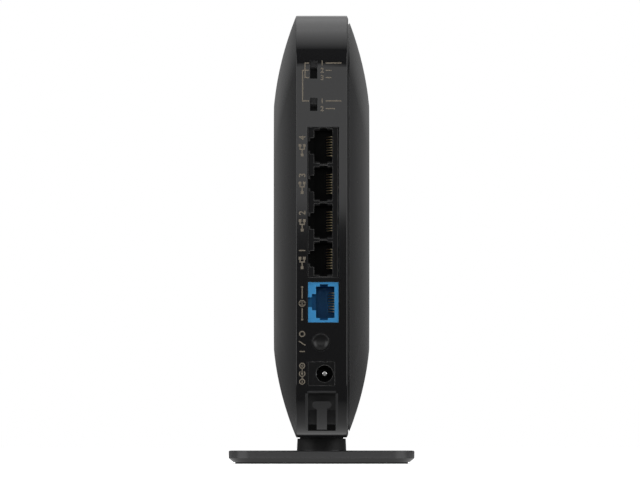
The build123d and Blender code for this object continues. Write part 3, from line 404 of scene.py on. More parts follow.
def standMaterial():
    # satin plate; its upright side painted lighter as painted light, the chamfer below it painted darker as painted
    # shade, and the matt neck painted darker as painted shadow
    s = standSettings
    material, tree, shader, place = startMaterial("standBlack")
    z = axisOf(tree, place, "Z")

    def rise(key):
        start, end = s[key]
        return ramp(tree, z, start * mm, end * mm)

    skin = useGroup(tree, mouldGrain, {"Vector": place, "Scale": 4200.0, "Base": s["rough"], "Spread": 0.05})
    neck = rise("neckFrom")
    tree.links.new(mixNumber(tree, neck, skin["Roughness"], s["neckRough"]), shader.inputs["Roughness"])
    setBump(tree, shader, skin["Height"], 0.08, skinSettings["plasticBump"])
    # painted light on the upright side, painted shade on the chamfer, painted shadow on the neck
    rim = calc(tree, "MULTIPLY", rise("rimFrom"), rise("rimTo"))
    tint = mixColor(tree, rim, (*s["top"], 1), (*s["rim"], 1))
    tint = mixColor(tree, rise("chamferTo"), tint, (*s["chamfer"], 1))
    tint = mixColor(tree, neck, tint, (*s["neck"], 1))
    # painted highlight along the stand's sharp edges
    highlightMask = useGroup(tree, paintedEdgeHighlight, {"Vector": place, "Width": 0.2 * mm, "Amount": 0.4})
    tint = mixColor(tree, highlightMask["Mask"], tint, (*s["edge"], 1))
    film = useGroup(tree, settledDust, {"Vector": place, "Amount": 0.04})
    tint = mixColor(tree, film["Mask"], tint, (*skinSettings["dust"], 1))
    tree.links.new(tint, shader.inputs["Base Color"])
    return material


finishes = {
    "shell_black": shellMaterial(),
    "stand_black": standMaterial(),
    "pad_rubber": plastic("padRubber", (0.024, 0.024, 0.024), rough=0.8, grain=0.4, scale=1800.0, specular=0.3),
    "board_green": boardMaterial(),
    "screw_steel": metal("screwSteel", (0.58, 0.58, 0.6), rough=0.28),
    "jack_black": jackMaterial("jackBlack"),
    "jack_blue": jackMaterial("jackBlue"),
    "contact_gold": metal("contactGold", (0.95, 0.83, 0.58), rough=0.55, stretch=(1.0, 8.0, 1.0)),
    "contact_nickel": inletMaterial(),
    # the edge colours of button and knob are painted highlights along their sharp edges
    "button_black": plastic("buttonBlack", (0.009, 0.009, 0.0095), rough=0.3, spread=0.04, grain=0.04, edge=0.4,
                            edgeColor=(0.05, 0.05, 0.05)),
    "knob_black": plastic("knobBlack", (0.02, 0.02, 0.021), rough=0.5, edge=0.8, edgeColor=(0.10, 0.10, 0.10)),
    "switch_black": plastic("switchBlack", (0.008, 0.008, 0.008), rough=0.5),
    "switch_white": plastic("switchWhite", (0.72, 0.72, 0.69), rough=0.4),
    "spring_steel": metal("springSteel", (0.60, 0.60, 0.62), rough=0.25, stretch=(6.0, 1.0, 6.0)),
    "lamp_green": lampMaterial(),
    "guide_clear": clearMaterial("guideClear", (0.86, 0.90, 0.90), 0.18),
    "chip_black": plastic("chipBlack", (0.018, 0.018, 0.019), rough=0.6, grain=0.35, scale=1600.0),
    "pad_grey": plastic("padGrey", (0.42, 0.47, 0.52), rough=0.75, grain=0.4, scale=1300.0),
    "sink_aluminium": metal("sinkAluminium", (0.78, 0.79, 0.80), rough=0.35, stretch=(1.0, 1.0, 0.08)),
    "shield_tin": metal("shieldTin", (0.70, 0.70, 0.68), rough=0.32, stretch=(1.0, 0.1, 1.0)),
    "capacitor_can": metal("capacitorCan", (0.74, 0.74, 0.76), rough=0.3, stretch=(0.1, 1.0, 1.0)),
    "inductor_grey": plastic("inductorGrey", (0.09, 0.09, 0.09), rough=0.65, grain=0.5, scale=1400.0),
    "antenna_board": boardMaterial("antennaBoard"),
    "lead_black": plastic("leadBlack", (0.015, 0.015, 0.015), rough=0.45, grain=0.2),
}
printInk = plastic("printInk", (0.27, 0.235, 0.185), rough=0.5, grain=0.2, scale=5000.0, specular=0.3)


def paint(piece, material):
    # every material slot of the piece's object takes this finish
    if not piece.material_slots:
        piece.data.materials.append(material)
    for s in piece.material_slots:
        s.link = "OBJECT"
        s.material = material


for subpart in frame["record"]["subparts"]:
    paint(cadNodes[subpart["node"]], finishes[subpart["material_slot"]])
print("materials:", len(finishes) + 1)


# ---- mesh helpers

def pieceFromMesh(name, mesh, body, material):
    piece = bpy.data.objects.new(name, mesh)
    scene.collection.objects.link(piece)
    mesh.materials.clear()
    mesh.materials.append(material)
    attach(piece, body)
    return piece


def newTree(name, inputs):
    tree = bpy.data.node_groups.new(name, "GeometryNodeTree")
    tree.interface.new_socket("Geometry", in_out="INPUT", socket_type="NodeSocketGeometry")
    tree.interface.new_socket("Geometry", in_out="OUTPUT", socket_type="NodeSocketGeometry")
    for label, kind, value in inputs:
        socket = tree.interface.new_socket(label, in_out="INPUT", socket_type=kind)
        if value is not None:
            socket.default_value = value
    return tree, addNode(tree, "NodeGroupInput").outputs, addNode(tree, "NodeGroupOutput").inputs


def grow(name, base, tree, values):
    # runs a geometry tree on a base mesh and returns the result as a plain mesh
    holder = bpy.data.objects.new(name + "Base", base)
    scene.collection.objects.link(holder)
    modifier = holder.modifiers.new(name, "NODES")
    modifier.node_group = tree
    sockets = {item.name: item.identifier for item in tree.interface.items_tree if item.in_out == "INPUT"}
    for label, value in values.items():
        modifier[sockets[label]] = value
    bpy.context.view_layer.update()
    shown = holder.evaluated_get(bpy.context.evaluated_depsgraph_get())
    mesh = bpy.data.meshes.new_from_object(shown)
    mesh.name = name
    holder.modifiers.remove(modifier)
    bpy.data.objects.remove(holder)
    return mesh


# ---- spring contacts of the five sockets

contactSettings = {
    "wire": 0.23,      # radius, mm
    "bend": 0.34,
    "count": 8,
    "pitch": 1.02,
    "drop": 2.3,       # how far the sprung tip leans into the opening
    "tipDepth": 10.8,
    "startDepth": 1.6,
}


def wireCombTree():
    tree, given, out = newTree("wireComb", [
        ("Wire", "NodeSocketFloat", 0.0002), ("Bend", "NodeSocketFloat", 0.0003),
        ("Count", "NodeSocketInt", 8), ("Pitch", "NodeSocketFloat", 0.001),
        ("Material", "NodeSocketMaterial", None)])
    path = addNode(tree, "GeometryNodeMeshToCurve", {"Mesh": given["Geometry"]})
    bent = addNode(tree, "GeometryNodeFilletCurve",
                   {"Curve": path.outputs[0], "Radius": given["Bend"], "Count": 5, "Limit Radius": True}, mode="POLY")
    profile = addNode(tree, "GeometryNodeCurvePrimitiveCircle", {"Resolution": 10, "Radius": given["Wire"]})
    wire = addNode(tree, "GeometryNodeCurveToMesh",
                   {"Curve": bent.outputs[0], "Profile Curve": profile.outputs[0], "Fill Caps": True})
    last = calc(tree, "SUBTRACT", given["Count"], 1.0)
    start = calc(tree, "MULTIPLY", calc(tree, "MULTIPLY", last, given["Pitch"]), -0.5)
    first = addNode(tree, "ShaderNodeCombineXYZ", {"Z": start})
    step = addNode(tree, "ShaderNodeCombineXYZ", {"Z": given["Pitch"]})
    line = addNode(tree, "GeometryNodeMeshLine",
                   {"Count": given["Count"], "Start Location": first.outputs[0], "Offset": step.outputs[0]})
    comb = addNode(tree, "GeometryNodeInstanceOnPoints", {"Points": line.outputs[0], "Instance": wire.outputs[0]})
    real = addNode(tree, "GeometryNodeRealizeInstances", {"Geometry": comb.outputs[0]})
    smooth = addNode(tree, "GeometryNodeSetShadeSmooth", {"Geometry": real.outputs[0]})
    done = addNode(tree, "GeometryNodeSetMaterial", {"Geometry": smooth.outputs[0], "Material": given["Material"]})
    tree.links.new(done.outputs[0], out["Geometry"])
    return tree


def contactPaths(name, jack, contacts, centres):
    # one polyline for each socket: sprung tip, front bend, along the wall, across to the far side
    s = contactSettings
    low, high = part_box(contacts)
    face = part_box(jack)[0].y
    wall = high.x - s["wire"] * mm
    tail = high.y - s["wire"] * mm
    bm = bmesh.new()
    for z in centres:
        points = [(wall - s["drop"] * mm, face + s["tipDepth"] * mm, z), (wall, face + s["startDepth"] * mm, z),
                  (wall, tail, z), (low.x, tail, z)]
        verts = [bm.verts.new(p) for p in points]
        for a, b in zip(verts, verts[1:]):
            bm.edges.new((a, b))
    mesh = bpy.data.meshes.new(name)
    bm.to_mesh(mesh)
    bm.free()
    return mesh


def buildContacts():
    s = contactSettings
    tree = wireCombTree()
    lanLow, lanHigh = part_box("lan_contacts")
    combHalf = ((s["count"] - 1) / 2 * s["pitch"] + s["wire"]) * mm
    spacing = (lanHigh.z - lanLow.z - 2 * combHalf) / 3
    centres = {"lan": [lanLow.z + combHalf + i * spacing for i in range(4)],
               "internet": [sum(c.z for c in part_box("internet_contacts")) / 2]}
    values = {"Wire": s["wire"] * mm, "Bend": s["bend"] * mm, "Count": s["count"], "Pitch": s["pitch"] * mm,
              "Material": finishes["contact_gold"]}
    for label, heights in centres.items():
        name = label + "SpringContacts"
        base = contactPaths(name + "Path", label + "_jack", label + "_contacts", heights)
        mesh = grow(name, base, tree, values)
        piece = pieceFromMesh(name, mesh, "case", finishes["contact_gold"])
        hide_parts(label + "_contacts")
        print(name, len(mesh.polygons), "faces")


buildContacts()


# ---- printed marks on the socket panel

markSettings = {
    "line": 0.42,       # mm
    "proud": 0.03,
    "sunk": 0.02,
    "numeral": 2.5,
    "smallNumeral": 1.9,
    "fontScale": 1.38,  # letter size for a numeral of height 1
    "bold": 0.05,
    "labelX": -7.35,
    "windowX": -4.75,   # where the lines meet the two switch windows
    "modeX": -6.26,     # the three-way bracket
    "autoX": -7.17,     # the line down to the two-way switch
    "modeTop": 1.3, "modeStep": 2.75,
    "autoTop": 1.8, "autoStep": 2.9,
    "numeralX": 0.2, "lineX": 1.5,
    "modeLines": (6.0, 2.2, 2.2), "autoLines": (6.0, 3.6),
}


def strip(bm, u0, v0, u1, v1, width):
    along = Vector((u1 - u0, v1 - v0)).normalized()
    side = Vector((-along.y, along.x)) * width / 2
    corners = [(u0 - side.x, v0 - side.y), (u1 - side.x, v1 - side.y),
               (u1 + side.x, v1 + side.y), (u0 + side.x, v0 + side.y)]
    bm.faces.new([bm.verts.new((u, v, 0)) for u, v in corners])


def ring(bm, u, v, radius, width, start=0.0, end=360.0, squeeze=1.0):
    steps = max(6, int((end - start) / 15))
    closed = end - start >= 360
    count = steps if closed else steps + 1
    pairs = []
    for i in range(count):
        a = math.radians(start + (end - start) * i / steps)
        pairs.append([bm.verts.new((u + math.cos(a) * r * squeeze, v + math.sin(a) * r, 0))
                      for r in (radius - width / 2, radius + width / 2)])
    for i in range(steps):
        a, b = pairs[i], pairs[(i + 1) % count]
        bm.faces.new((a[0], a[1], b[1], b[0]))


def disc(bm, u, v, radius, sides=20):
    bm.faces.new([bm.verts.new((u + math.cos(2 * math.pi * i / sides) * radius,
                                v + math.sin(2 * math.pi * i / sides) * radius, 0)) for i in range(sides)])


def square(bm, u, v, size):
    strip(bm, u - size / 2, v, u + size / 2, v, size)


# each sign is drawn in mm about its own middle, with w the width of its line

def netSign(bm, w):
    # three boxes joined by a branch
    for u, v in ((-1.7, 0.0), (1.9, 0.8), (1.9, -0.8)):
        square(bm, u, v, 1.05)
    strip(bm, -1.17, 0, 0.25, 0, w)
    strip(bm, 0.46, -0.8 - w / 2, 0.46, 0.8 + w / 2, w)
    for v in (0.8, -0.8):
        strip(bm, 0.67, v, 1.37, v, w)


def globeSign(bm, w):
    # a globe on a line with two ends
    ring(bm, 0, 0, 1.15, w * 0.8)
    ring(bm, 0, 0, 1.12, w * 0.6, squeeze=0.45)
    strip(bm, -1.1, 0, 1.1, 0, w * 0.6)
    for side in (-1, 1):
        strip(bm, side * 1.75, 0, side * 5.6, 0, w)
        disc(bm, side * 6.1, 0, 0.42)


def switchSign(bm, w):
    # a bar, a slash and a ring: on and off
    strip(bm, -3.6, -1.0, -3.6, 1.0, w)
    strip(bm, -1.3, -1.2, 0.3, 1.2, w)
    ring(bm, 3.0, 0, 0.95, w)


def polaritySign(bm, w):
    # centre pin positive
    disc(bm, 0, 0, 0.42)
    ring(bm, 0, 0, 1.05, w * 0.9, 40, 320)
    strip(bm, 0.4, 0, 2.0, 0, w * 0.9)
    strip(bm, -2.0, 0, -1.05, 0, w * 0.9)
    for side in (-1, 1):
        ring(bm, side * 3.0, 0, 0.95, w * 0.9)
        strip(bm, side * 3.0 - 0.5, 0, side * 3.0 + 0.5, 0, w * 0.8)
    strip(bm, 3.0, -0.5, 3.0, 0.5, w * 0.8)


def numeralFaces(bm, text, size, u, v):
    curve = bpy.data.curves.new("numeral", "FONT")
    curve.body = text
    curve.size = size * markSettings["fontScale"]
    curve.align_x = "CENTER"
    curve.align_y = "CENTER"
    curve.offset = markSettings["bold"]
    holder = bpy.data.objects.new("numeral", curve)
    scene.collection.objects.link(holder)
    bpy.context.view_layer.update()
    mesh = bpy.data.meshes.new_from_object(holder.evaluated_get(bpy.context.evaluated_depsgraph_get()))
    low = min(p.co.y for p in mesh.vertices)
    high = max(p.co.y for p in mesh.vertices)
    mesh.transform(Matrix.Translation((u, v - (low + high) / 2, 0)))
    bm.from_mesh(mesh)
    bpy.data.objects.remove(holder)
    bpy.data.curves.remove(curve)
    bpy.data.meshes.remove(mesh)


def placedMark(target, draw, x, z, upright):
    # a mark is drawn flat in mm, given its thickness, then stood on the panel
    s = markSettings
    bm = bmesh.new()
    draw(bm)
    bmesh.ops.remove_doubles(bm, verts=bm.verts, dist=0.001)
    for face in bm.faces:
        if face.normal.z < 0:
            face.normal_flip()
    bm.normal_update()
    across, up = (Vector((1, 0, 0)), Vector((0, 0, 1))) if upright else (Vector((0, 0, 1)), Vector((-1, 0, 0)))
    out = across.cross(up)
    basis = Matrix((across, up, out)).transposed().to_4x4()
    basis = Matrix.Translation((x * mm, panelY, z * mm)) @ basis @ Matrix.Diagonal((mm, mm, mm, 1))
    flat = bpy.data.meshes.new("mark")
    bm.to_mesh(flat)
    bm.free()
    thick = bmesh.new()
    thick.from_mesh(flat)
    bpy.data.meshes.remove(flat)
    front = {v: thick.verts.new(v.co + Vector((0, 0, s["proud"]))) for v in list(thick.verts)}
    faces = list(thick.faces)
    edges = [e for e in thick.edges if len(e.link_faces) == 1]
    walls = []
    for e in edges:
        loop = e.link_loops[0]
        a, b = loop.vert, loop.link_loop_next.vert
        walls.append((a, b, front[b], front[a]))
    for f in faces:
        thick.faces.new([front[v] for v in f.verts])
    for w in walls:
        thick.faces.new(w)
    for f in faces:
        f.normal_flip()
    for v in list(thick.verts):
        if v not in front.values():
            v.co.z -= s["sunk"]
    thick.normal_update()
    thick.transform(basis)
    result = bpy.data.meshes.new("mark")
    thick.to_mesh(result)
    thick.free()
    target.from_mesh(result)
    bpy.data.meshes.remove(result)


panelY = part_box("main_case")[0].y
sockets = frame["record"]["physics"]["openings"]
socketHeight = {o["name"]: (o["box_m"][0][2] + o["box_m"][1][2]) / 2 / mm for o in sockets}


def buildMarks():
    s = markSettings
    w = s["line"]
    marks = bmesh.new()
    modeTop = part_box("mode_knob")[1].z / mm - s["modeTop"]
    modeRows = [modeTop - i * s["modeStep"] for i in range(3)]
    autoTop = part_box("auto_knob")[1].z / mm - s["autoTop"]
    autoRows = [autoTop, autoTop - s["autoStep"]]

    def bracket(bm):
        near, far, window = s["modeX"], s["autoX"], s["windowX"]
        strip(bm, near, modeRows[2] - w / 2, near, modeRows[0] + w / 2, w)
        for z in modeRows:
            strip(bm, near + w / 2, z, window, z, w)
        strip(bm, far, autoRows[0] - w / 2, far, modeRows[1] + w / 2, w)
        strip(bm, far + w / 2, modeRows[1], near - w / 2, modeRows[1], w)
        strip(bm, far + w / 2, autoRows[0], window, autoRows[0], w)

    placedMark(marks, bracket, 0, 0, True)
    for rows, lengths in ((modeRows, s["modeLines"]), (autoRows, s["autoLines"])):
        for i, (z, length) in enumerate(zip(rows, lengths)):
            placedMark(marks, lambda bm: numeralFaces(bm, str(i + 1), s["smallNumeral"], 0, 0),
                       s["numeralX"], z, True)
            placedMark(marks, lambda bm: strip(bm, 0, 0, length, 0, w), s["lineX"], z, True)
    for i in range(4):
        z = socketHeight["lan_socket_%d" % (i + 1)]
        placedMark(marks, lambda bm: netSign(bm, w), s["labelX"], z - 1.7, False)
        placedMark(marks, lambda bm: numeralFaces(bm, str(i + 1), s["numeral"], 0, 0), s["labelX"], z + 3.1, False)
    placedMark(marks, lambda bm: globeSign(bm, w), s["labelX"], socketHeight["internet_socket"] - 0.4, False)
    button = sum(c.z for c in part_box("power_button")) / 2 / mm
    inlet = sum(c.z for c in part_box("dc_centre_pin")) / 2 / mm
    placedMark(marks, lambda bm: switchSign(bm, w), s["labelX"], button, False)
    placedMark(marks, lambda bm: polaritySign(bm, w), s["labelX"], inlet, False)
    mesh = bpy.data.meshes.new("panelMarks")
    marks.to_mesh(mesh)
    marks.free()
    return pieceFromMesh("panelMarks", mesh, "case", printInk)


buildMarks()
print("marks printed")


# ---- screws with cross recesses

screwSettings = {
    "headHeight": 0.62, "threadRadius": 0.5,    # shares of the head's radius
    "turns": 7, "sides": 24, "spin": 6.2832, "seed": 4,
    "core": 0.78,       # thread's root, share of its radius
    "dome": ((0.62, 0.0), (0.86, 0.12), (0.97, 0.36), (1.0, 0.62), (1.0, 1.0)),    # radius and drop, shares
    "crossArm": 0.46, "crossHalf": 0.11, "crossDepth": 0.55, "crossTaper": 0.8,
}


def screwMesh(name, headRadius, length):
    # along -Z from the head's top at 0: domed head, cross recess, threaded shank with a point
    s = screwSettings
    headHeight, threadRadius, sides = headRadius * s["headHeight"], headRadius * s["threadRadius"], s["sides"]
    core = threadRadius * s["core"]
    bm = bmesh.new()
    rings = []

    def addRing(radius, z):
        turns = [2 * math.pi * i / sides for i in range(sides)]
        rings.append([bm.verts.new((math.cos(a) * radius, math.sin(a) * radius, z)) for a in turns])

    for part, drop in s["dome"]:
        addRing(headRadius * part, -headHeight * drop)
    addRing(core, -headHeight)
    pitch = (length - headHeight - threadRadius) / s["turns"]
    for t in range(s["turns"]):
        z = -headHeight - pitch * t
        addRing(core, z - pitch * 0.30)
        addRing(threadRadius, z - pitch * 0.55)
        addRing(core, z - pitch * 0.80)
    addRing(threadRadius * 0.4, -length + threadRadius * 0.35)
    for a, b in zip(rings, rings[1:]):
        for i in range(sides):
            j = (i + 1) % sides
            bm.faces.new((a[i], b[i], b[j], a[j]))
    tip = bm.verts.new((0, 0, -length))
    for i in range(sides):
        bm.faces.new((rings[-1][i], tip, rings[-1][(i + 1) % sides]))
    # the cross: arms as a ring of points on the top, sunk to a floor
    arm, half, depth = headRadius * s["crossArm"], headRadius * s["crossHalf"], headHeight * s["crossDepth"]
    taper = s["crossTaper"]
    outline = []
    for k in range(4):
        a = math.pi / 2 * k
        for u, v in ((arm, -half), (arm, half), (half, half)):
            outline.append((math.cos(a) * u - math.sin(a) * v, math.sin(a) * u + math.cos(a) * v))
    top = [bm.verts.new((x, y, 0)) for x, y in outline]
    floor = [bm.verts.new((x * taper, y * taper, -depth)) for x, y in outline]
    count = len(outline)
    for i in range(count):
        j = (i + 1) % count
        bm.faces.new((top[i], top[j], floor[j], floor[i]))
    bm.faces.new(floor)
    outerEdges = [bm.edges.get((rings[0][i], rings[0][(i + 1) % sides])) for i in range(sides)]
    innerEdges = [bm.edges.get((top[i], top[(i + 1) % count])) for i in range(count)]
    bmesh.ops.triangle_fill(bm, use_beauty=True, edges=outerEdges + innerEdges)
    bmesh.ops.recalc_face_normals(bm, faces=bm.faces)
    mesh = bpy.data.meshes.new(name)
    bm.to_mesh(mesh)
    bm.free()
    return mesh


def setOnPointsTree():
    tree, given, out = newTree("setOnPoints", [
        ("Item", "NodeSocketObject", None), ("Axis", "NodeSocketVector", (0.0, 0.0, 1.0)),
        ("Turn", "NodeSocketFloat", 6.2832), ("Seed", "NodeSocketInt", 1), ("Material", "NodeSocketMaterial", None)])
    item = addNode(tree, "GeometryNodeObjectInfo", {"Object": given["Item"]})
    angle = addNode(tree, "FunctionNodeRandomValue", data_type="FLOAT")
    tree.links.new(given["Turn"], angle.inputs[3])
    tree.links.new(given["Seed"], angle.inputs["Seed"])
    spin = addNode(tree, "FunctionNodeAxisAngleToRotation", {"Axis": given["Axis"], "Angle": angle.outputs[1]})
    points = addNode(tree, "GeometryNodeMeshToPoints", {"Mesh": given["Geometry"]})
    placed = addNode(tree, "GeometryNodeInstanceOnPoints",
                     {"Points": points.outputs[0], "Instance": item.outputs["Geometry"], "Rotation": spin.outputs[0]})
    real = addNode(tree, "GeometryNodeRealizeInstances", {"Geometry": placed.outputs[0]})
    done = addNode(tree, "GeometryNodeSetMaterial", {"Geometry": real.outputs[0], "Material": given["Material"]})
    tree.links.new(done.outputs[0], out["Geometry"])
    return tree


def pointsMesh(name, points):
    mesh = bpy.data.meshes.new(name)
    mesh.from_pydata([tuple(p) for p in points], [], [])
    return mesh


def islandBoxes(node):
    # the box of each of a node's separate solids
    mesh = cadNodes[node].data
    bm = bmesh.new()
    bm.from_mesh(mesh)
    bmesh.ops.remove_doubles(bm, verts=bm.verts, dist=1e-6)
    boxes, seen = [], set()
    for start in bm.verts:
        if start in seen:
            continue
        stack, group = [start], []
        seen.add(start)
        while stack:
            v = stack.pop()
            group.append(v.co)
            for e in v.link_edges:
                other = e.other_vert(v)
                if other not in seen:
                    seen.add(other)
                    stack.append(other)
        low = Vector([min(c[i] for c in group) for i in range(3)])
        high = Vector([max(c[i] for c in group) for i in range(3)])
        boxes.append((low, high))
    bm.free()
    return boxes


def buildScrews():
    s = screwSettings
    tree = setOnPointsTree()
    jobs = {"cover_screws": ("coverScrews", Matrix.Rotation(math.pi, 4, "X"), Vector((0, 0, 1)), "z"),
            "board_screws": ("boardScrews", Matrix.Rotation(math.pi / 2, 4, "Y"), Vector((1, 0, 0)), "x")}
    for node, (name, turn, axis, along) in jobs.items():
        boxes = islandBoxes(node)
        low, high = boxes[0]
        length = (high - low)["xyz".index(along)]
        head = (high - low)[0 if along == "z" else 1] / 2
        item = screwMesh(name + "One", head, length)
        item.transform(turn)
        holder = bpy.data.objects.new(name + "One", item)
        scene.collection.objects.link(holder)
        points = []
        for low, high in boxes:
            middle = (low + high) / 2
            points.append((middle.x, middle.y, low.z) if along == "z" else (high.x, middle.y, middle.z))
        mesh = grow(name, pointsMesh(name + "Points", points), tree,
                    {"Item": holder, "Axis": axis, "Turn": s["spin"], "Seed": s["seed"],
                     "Material": finishes["screw_steel"]})
        bpy.data.objects.remove(holder)
        piece = pieceFromMesh(name, mesh, "case", finishes["screw_steel"])
        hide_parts(node)
        print(name, len(boxes), "screws", len(mesh.polygons), "faces")


buildScrews()


# ---- the power button's dished cap

capSettings = {
    # radius and depth from the front, mm
    "profile": [(0.6, 0.60), (1.1, 0.56), (1.6, 0.47), (2.0, 0.34), (2.4, 0.16), (2.7, 0.04), (2.98, 0.0),
                (3.12, 0.05), (3.2, 0.16), (3.2, 2.7)],
    "dish": 0.61,
    "break": 0.1,       # of the flange's edges
    "sides": 64,
    "sharp": 40,        # degrees
}


def buildPowerCap():
    s = capSettings
    low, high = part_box("power_button")
    middle = (low + high) / 2
    flange, back = (high.x - low.x) / 2 / mm, (high.y - low.y) / mm
    edge, skirt = s["break"], s["profile"][-1][1]
    profile = s["profile"] + [(flange - edge, skirt), (flange, skirt + edge), (flange, back - edge),
                              (flange - edge, back)]
    bm = bmesh.new()

    def point(radius, depth, turn):
        return bm.verts.new((middle.x + math.cos(turn) * radius * mm, low.y + depth * mm,
                             middle.z + math.sin(turn) * radius * mm))

    turns = [2 * math.pi * i / s["sides"] for i in range(s["sides"])]
    rings = [[point(r, d, t) for t in turns] for r, d in profile]
    front, rear = point(0, s["dish"], 0), point(0, back, 0)
    for i in range(s["sides"]):
        j = (i + 1) % s["sides"]
        bm.faces.new((front, rings[0][i], rings[0][j]))
        for a, b in zip(rings, rings[1:]):
            bm.faces.new((a[i], b[i], b[j], a[j]))
        bm.faces.new((rings[-1][i], rear, rings[-1][j]))
    bmesh.ops.recalc_face_normals(bm, faces=bm.faces)
    mesh = bpy.data.meshes.new("powerCap")
    bm.to_mesh(mesh)
    bm.free()
    mesh.shade_smooth()
    mesh.set_sharp_from_angle(angle=math.radians(s["sharp"]))
    piece = pieceFromMesh("powerCap", mesh, "power_button", finishes["button_black"])
    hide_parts("power_button")


buildPowerCap()


# ---- the coil behind the power button gets a mesh of its own


def squeezeSpring():
    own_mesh(cadNodes["power_spring"])


squeezeSpring()


# ---- floor, light and camera

stageSettings = {
    "floorSize": 14.0,
    "floorSeen": (0.45, 1.0),      # glow the camera sees over the lit floor, near and far
    "floorGlow": (0.75, 0.10),     # what the object sees of it, near and far
    "floorNear": (0.066, 0.116),   # from the middle, m
    "floorFade": (0.25, 1.6),      # from the middle, m
    "backHere": 0.10,              # sky behind the camera
    "backFar": 0.22,               # added behind the object
    "backSharp": 2.9,
}


def buildFloor():
    # the camera sees it lit and white; the object sees a glow that fades with distance
    s = stageSettings
    bm = bmesh.new()
    bmesh.ops.create_grid(bm, x_segments=1, y_segments=1, size=s["floorSize"] / 2)
    mesh = bpy.data.meshes.new("floor")
    bm.to_mesh(mesh)
    bm.free()
    floor = bpy.data.objects.new("floor", mesh)
    scene.collection.objects.link(floor)
    material = bpy.data.materials.new("floorPaint")
    material.use_nodes = True
    tree = material.node_tree
    tree.nodes.remove(tree.nodes["Principled BSDF"])
    seen = addNode(tree, "ShaderNodeLightPath").outputs["Is Camera Ray"]
    pale = addNode(tree, "ShaderNodeBsdfDiffuse", {"Color": (0.9, 0.9, 0.9, 1)})
    place = addNode(tree, "ShaderNodeTexCoord").outputs["Object"]
    away = addNode(tree, "ShaderNodeVectorMath", {0: place}, operation="LENGTH").outputs["Value"]
    glow = addNode(tree, "ShaderNodeEmission",
                   {"Strength": ramp(tree, away, *s["floorFade"], *s["floorSeen"])})
    bright = addNode(tree, "ShaderNodeAddShader", {0: pale.outputs[0], 1: glow.outputs[0]})
    dark = addNode(tree, "ShaderNodeEmission",
                   {"Strength": ramp(tree, away, *s["floorNear"], *s["floorGlow"])})
    mix = addNode(tree, "ShaderNodeMixShader", {0: seen, 1: dark.outputs[0], 2: bright.outputs[0]})
    tree.links.new(mix.outputs[0], tree.nodes["Material Output"].inputs["Surface"])
    mesh.materials.append(material)


def buildSky():
    # white to the camera; to the object dim, and brighter behind it
    s = stageSettings
    world = bpy.data.worlds.new("studio")
    scene.world = world
    world.use_nodes = True
    tree = world.node_tree
    background = tree.nodes["Background"]
    direction = addNode(tree, "ShaderNodeTexCoord").outputs["Generated"]
    ahead = calc(tree, "MAXIMUM", axisOf(tree, direction, "Y"), 0.0)
    ahead = calc(tree, "POWER", ahead, s["backSharp"])
    strength = calc(tree, "MULTIPLY_ADD", ahead, s["backFar"], s["backHere"])
    seen = addNode(tree, "ShaderNodeLightPath").outputs["Is Camera Ray"]
    tree.links.new(mixNumber(tree, seen, strength, 1.0), background.inputs["Strength"])
    background.inputs["Color"].default_value = (1, 1, 1, 1)


cards = {
    # centre, half across, half up, glow, the fading shares (each side, bottom, top), what is left at the bottom
    "frontCard": ((0, -1.0, 0.2215), (0.6, 0, 0), (0, 0, 0.115), 1.25, (0.1, 0.02, 0.5), 0.0),
    "overheadCard": ((0, 0.16, 1.15), (1.3, 0, 0), (0, -1.46, 0), 2.15, (0.1, 0.58, 0.42), 0.2),
    "backCard": ((0, 1.7, 0.86), (1.3, 0, 0), (0, 0, 0.36), 0.75, (0.1, 0.3, 0.1), 0.0),
    "leftCard": ((-1.0, -0.75, 0.35), (0.42, -0.50, 0), (0, 0, 0.45), 1.9, (0.15, 0.15, 0.15), 0.0),
    "rightCard": ((1.0, -0.75, 0.35), (0.42, 0.50, 0), (0, 0, 0.45), 1.9, (0.15, 0.15, 0.15), 0.0),
}


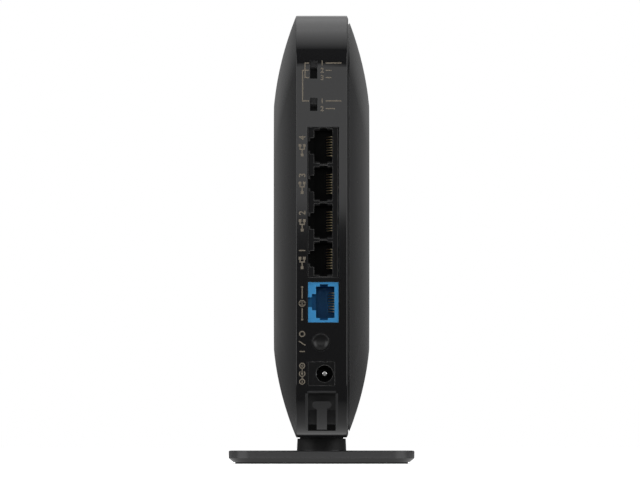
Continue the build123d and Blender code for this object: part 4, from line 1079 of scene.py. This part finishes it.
def lightCard(name, centre, across, up, glow, fade, least):
    # a flat lamp whose glow fades towards its edges
    bm = bmesh.new()
    centre, across, up = Vector(centre), Vector(across), Vector(up)
    layer = bm.loops.layers.uv.new("UVMap")
    corners = [(-1, -1), (1, -1), (1, 1), (-1, 1)]
    face = bm.faces.new([bm.verts.new(centre + across * u + up * v) for u, v in corners])
    for loop, (u, v) in zip(face.loops, corners):
        loop[layer].uv = ((u + 1) / 2, (v + 1) / 2)
    mesh = bpy.data.meshes.new(name)
    bm.to_mesh(mesh)
    bm.free()
    card = bpy.data.objects.new(name, mesh)
    scene.collection.objects.link(card)
    card.visible_camera = False
    card.visible_shadow = False
    material = bpy.data.materials.new(name + "Glow")
    material.use_nodes = True
    tree = material.node_tree
    tree.nodes.remove(tree.nodes["Principled BSDF"])
    flat = addNode(tree, "ShaderNodeTexCoord").outputs["UV"]
    u, v = axisOf(tree, flat, "X"), axisOf(tree, flat, "Y")
    sides, bottom, top = fade
    mask = calc(tree, "MULTIPLY", ramp(tree, u, 0.0, sides), ramp(tree, u, 1.0, 1.0 - sides))
    mask = calc(tree, "MULTIPLY", mask, ramp(tree, v, 0.0, bottom, least, 1.0))
    mask = calc(tree, "MULTIPLY", mask, ramp(tree, v, 1.0, 1.0 - top))
    light = addNode(tree, "ShaderNodeEmission", {"Strength": calc(tree, "MULTIPLY", mask, glow)})
    tree.links.new(light.outputs[0], tree.nodes["Material Output"].inputs["Surface"])
    mesh.materials.append(material)


buildFloor()
buildSky()
for name, values in cards.items():
    lightCard(name, *values)

# distance in metres, places and lens in mm
cameraSettings = {"distance": 5.0, "x": -0.6, "z": 10.0, "lookZ": 84.62, "lens": 744.4}


def buildCamera():
    s = cameraSettings
    data = bpy.data.cameras.new("camera")
    data.sensor_width = 36.0
    data.lens = s["lens"]
    data.clip_end = 60.0
    camera = bpy.data.objects.new("camera", data)
    scene.collection.objects.link(camera)
    camera.location = (s["x"] * mm, panelY - s["distance"], s["z"] * mm)
    target = Vector((s["x"] * mm, panelY, s["lookZ"] * mm))
    camera.rotation_euler = (target - camera.location).to_track_quat("-Z", "Y").to_euler()
    scene.camera = camera


buildCamera()
scene.view_settings.view_transform = "Standard"
print("stage lit")
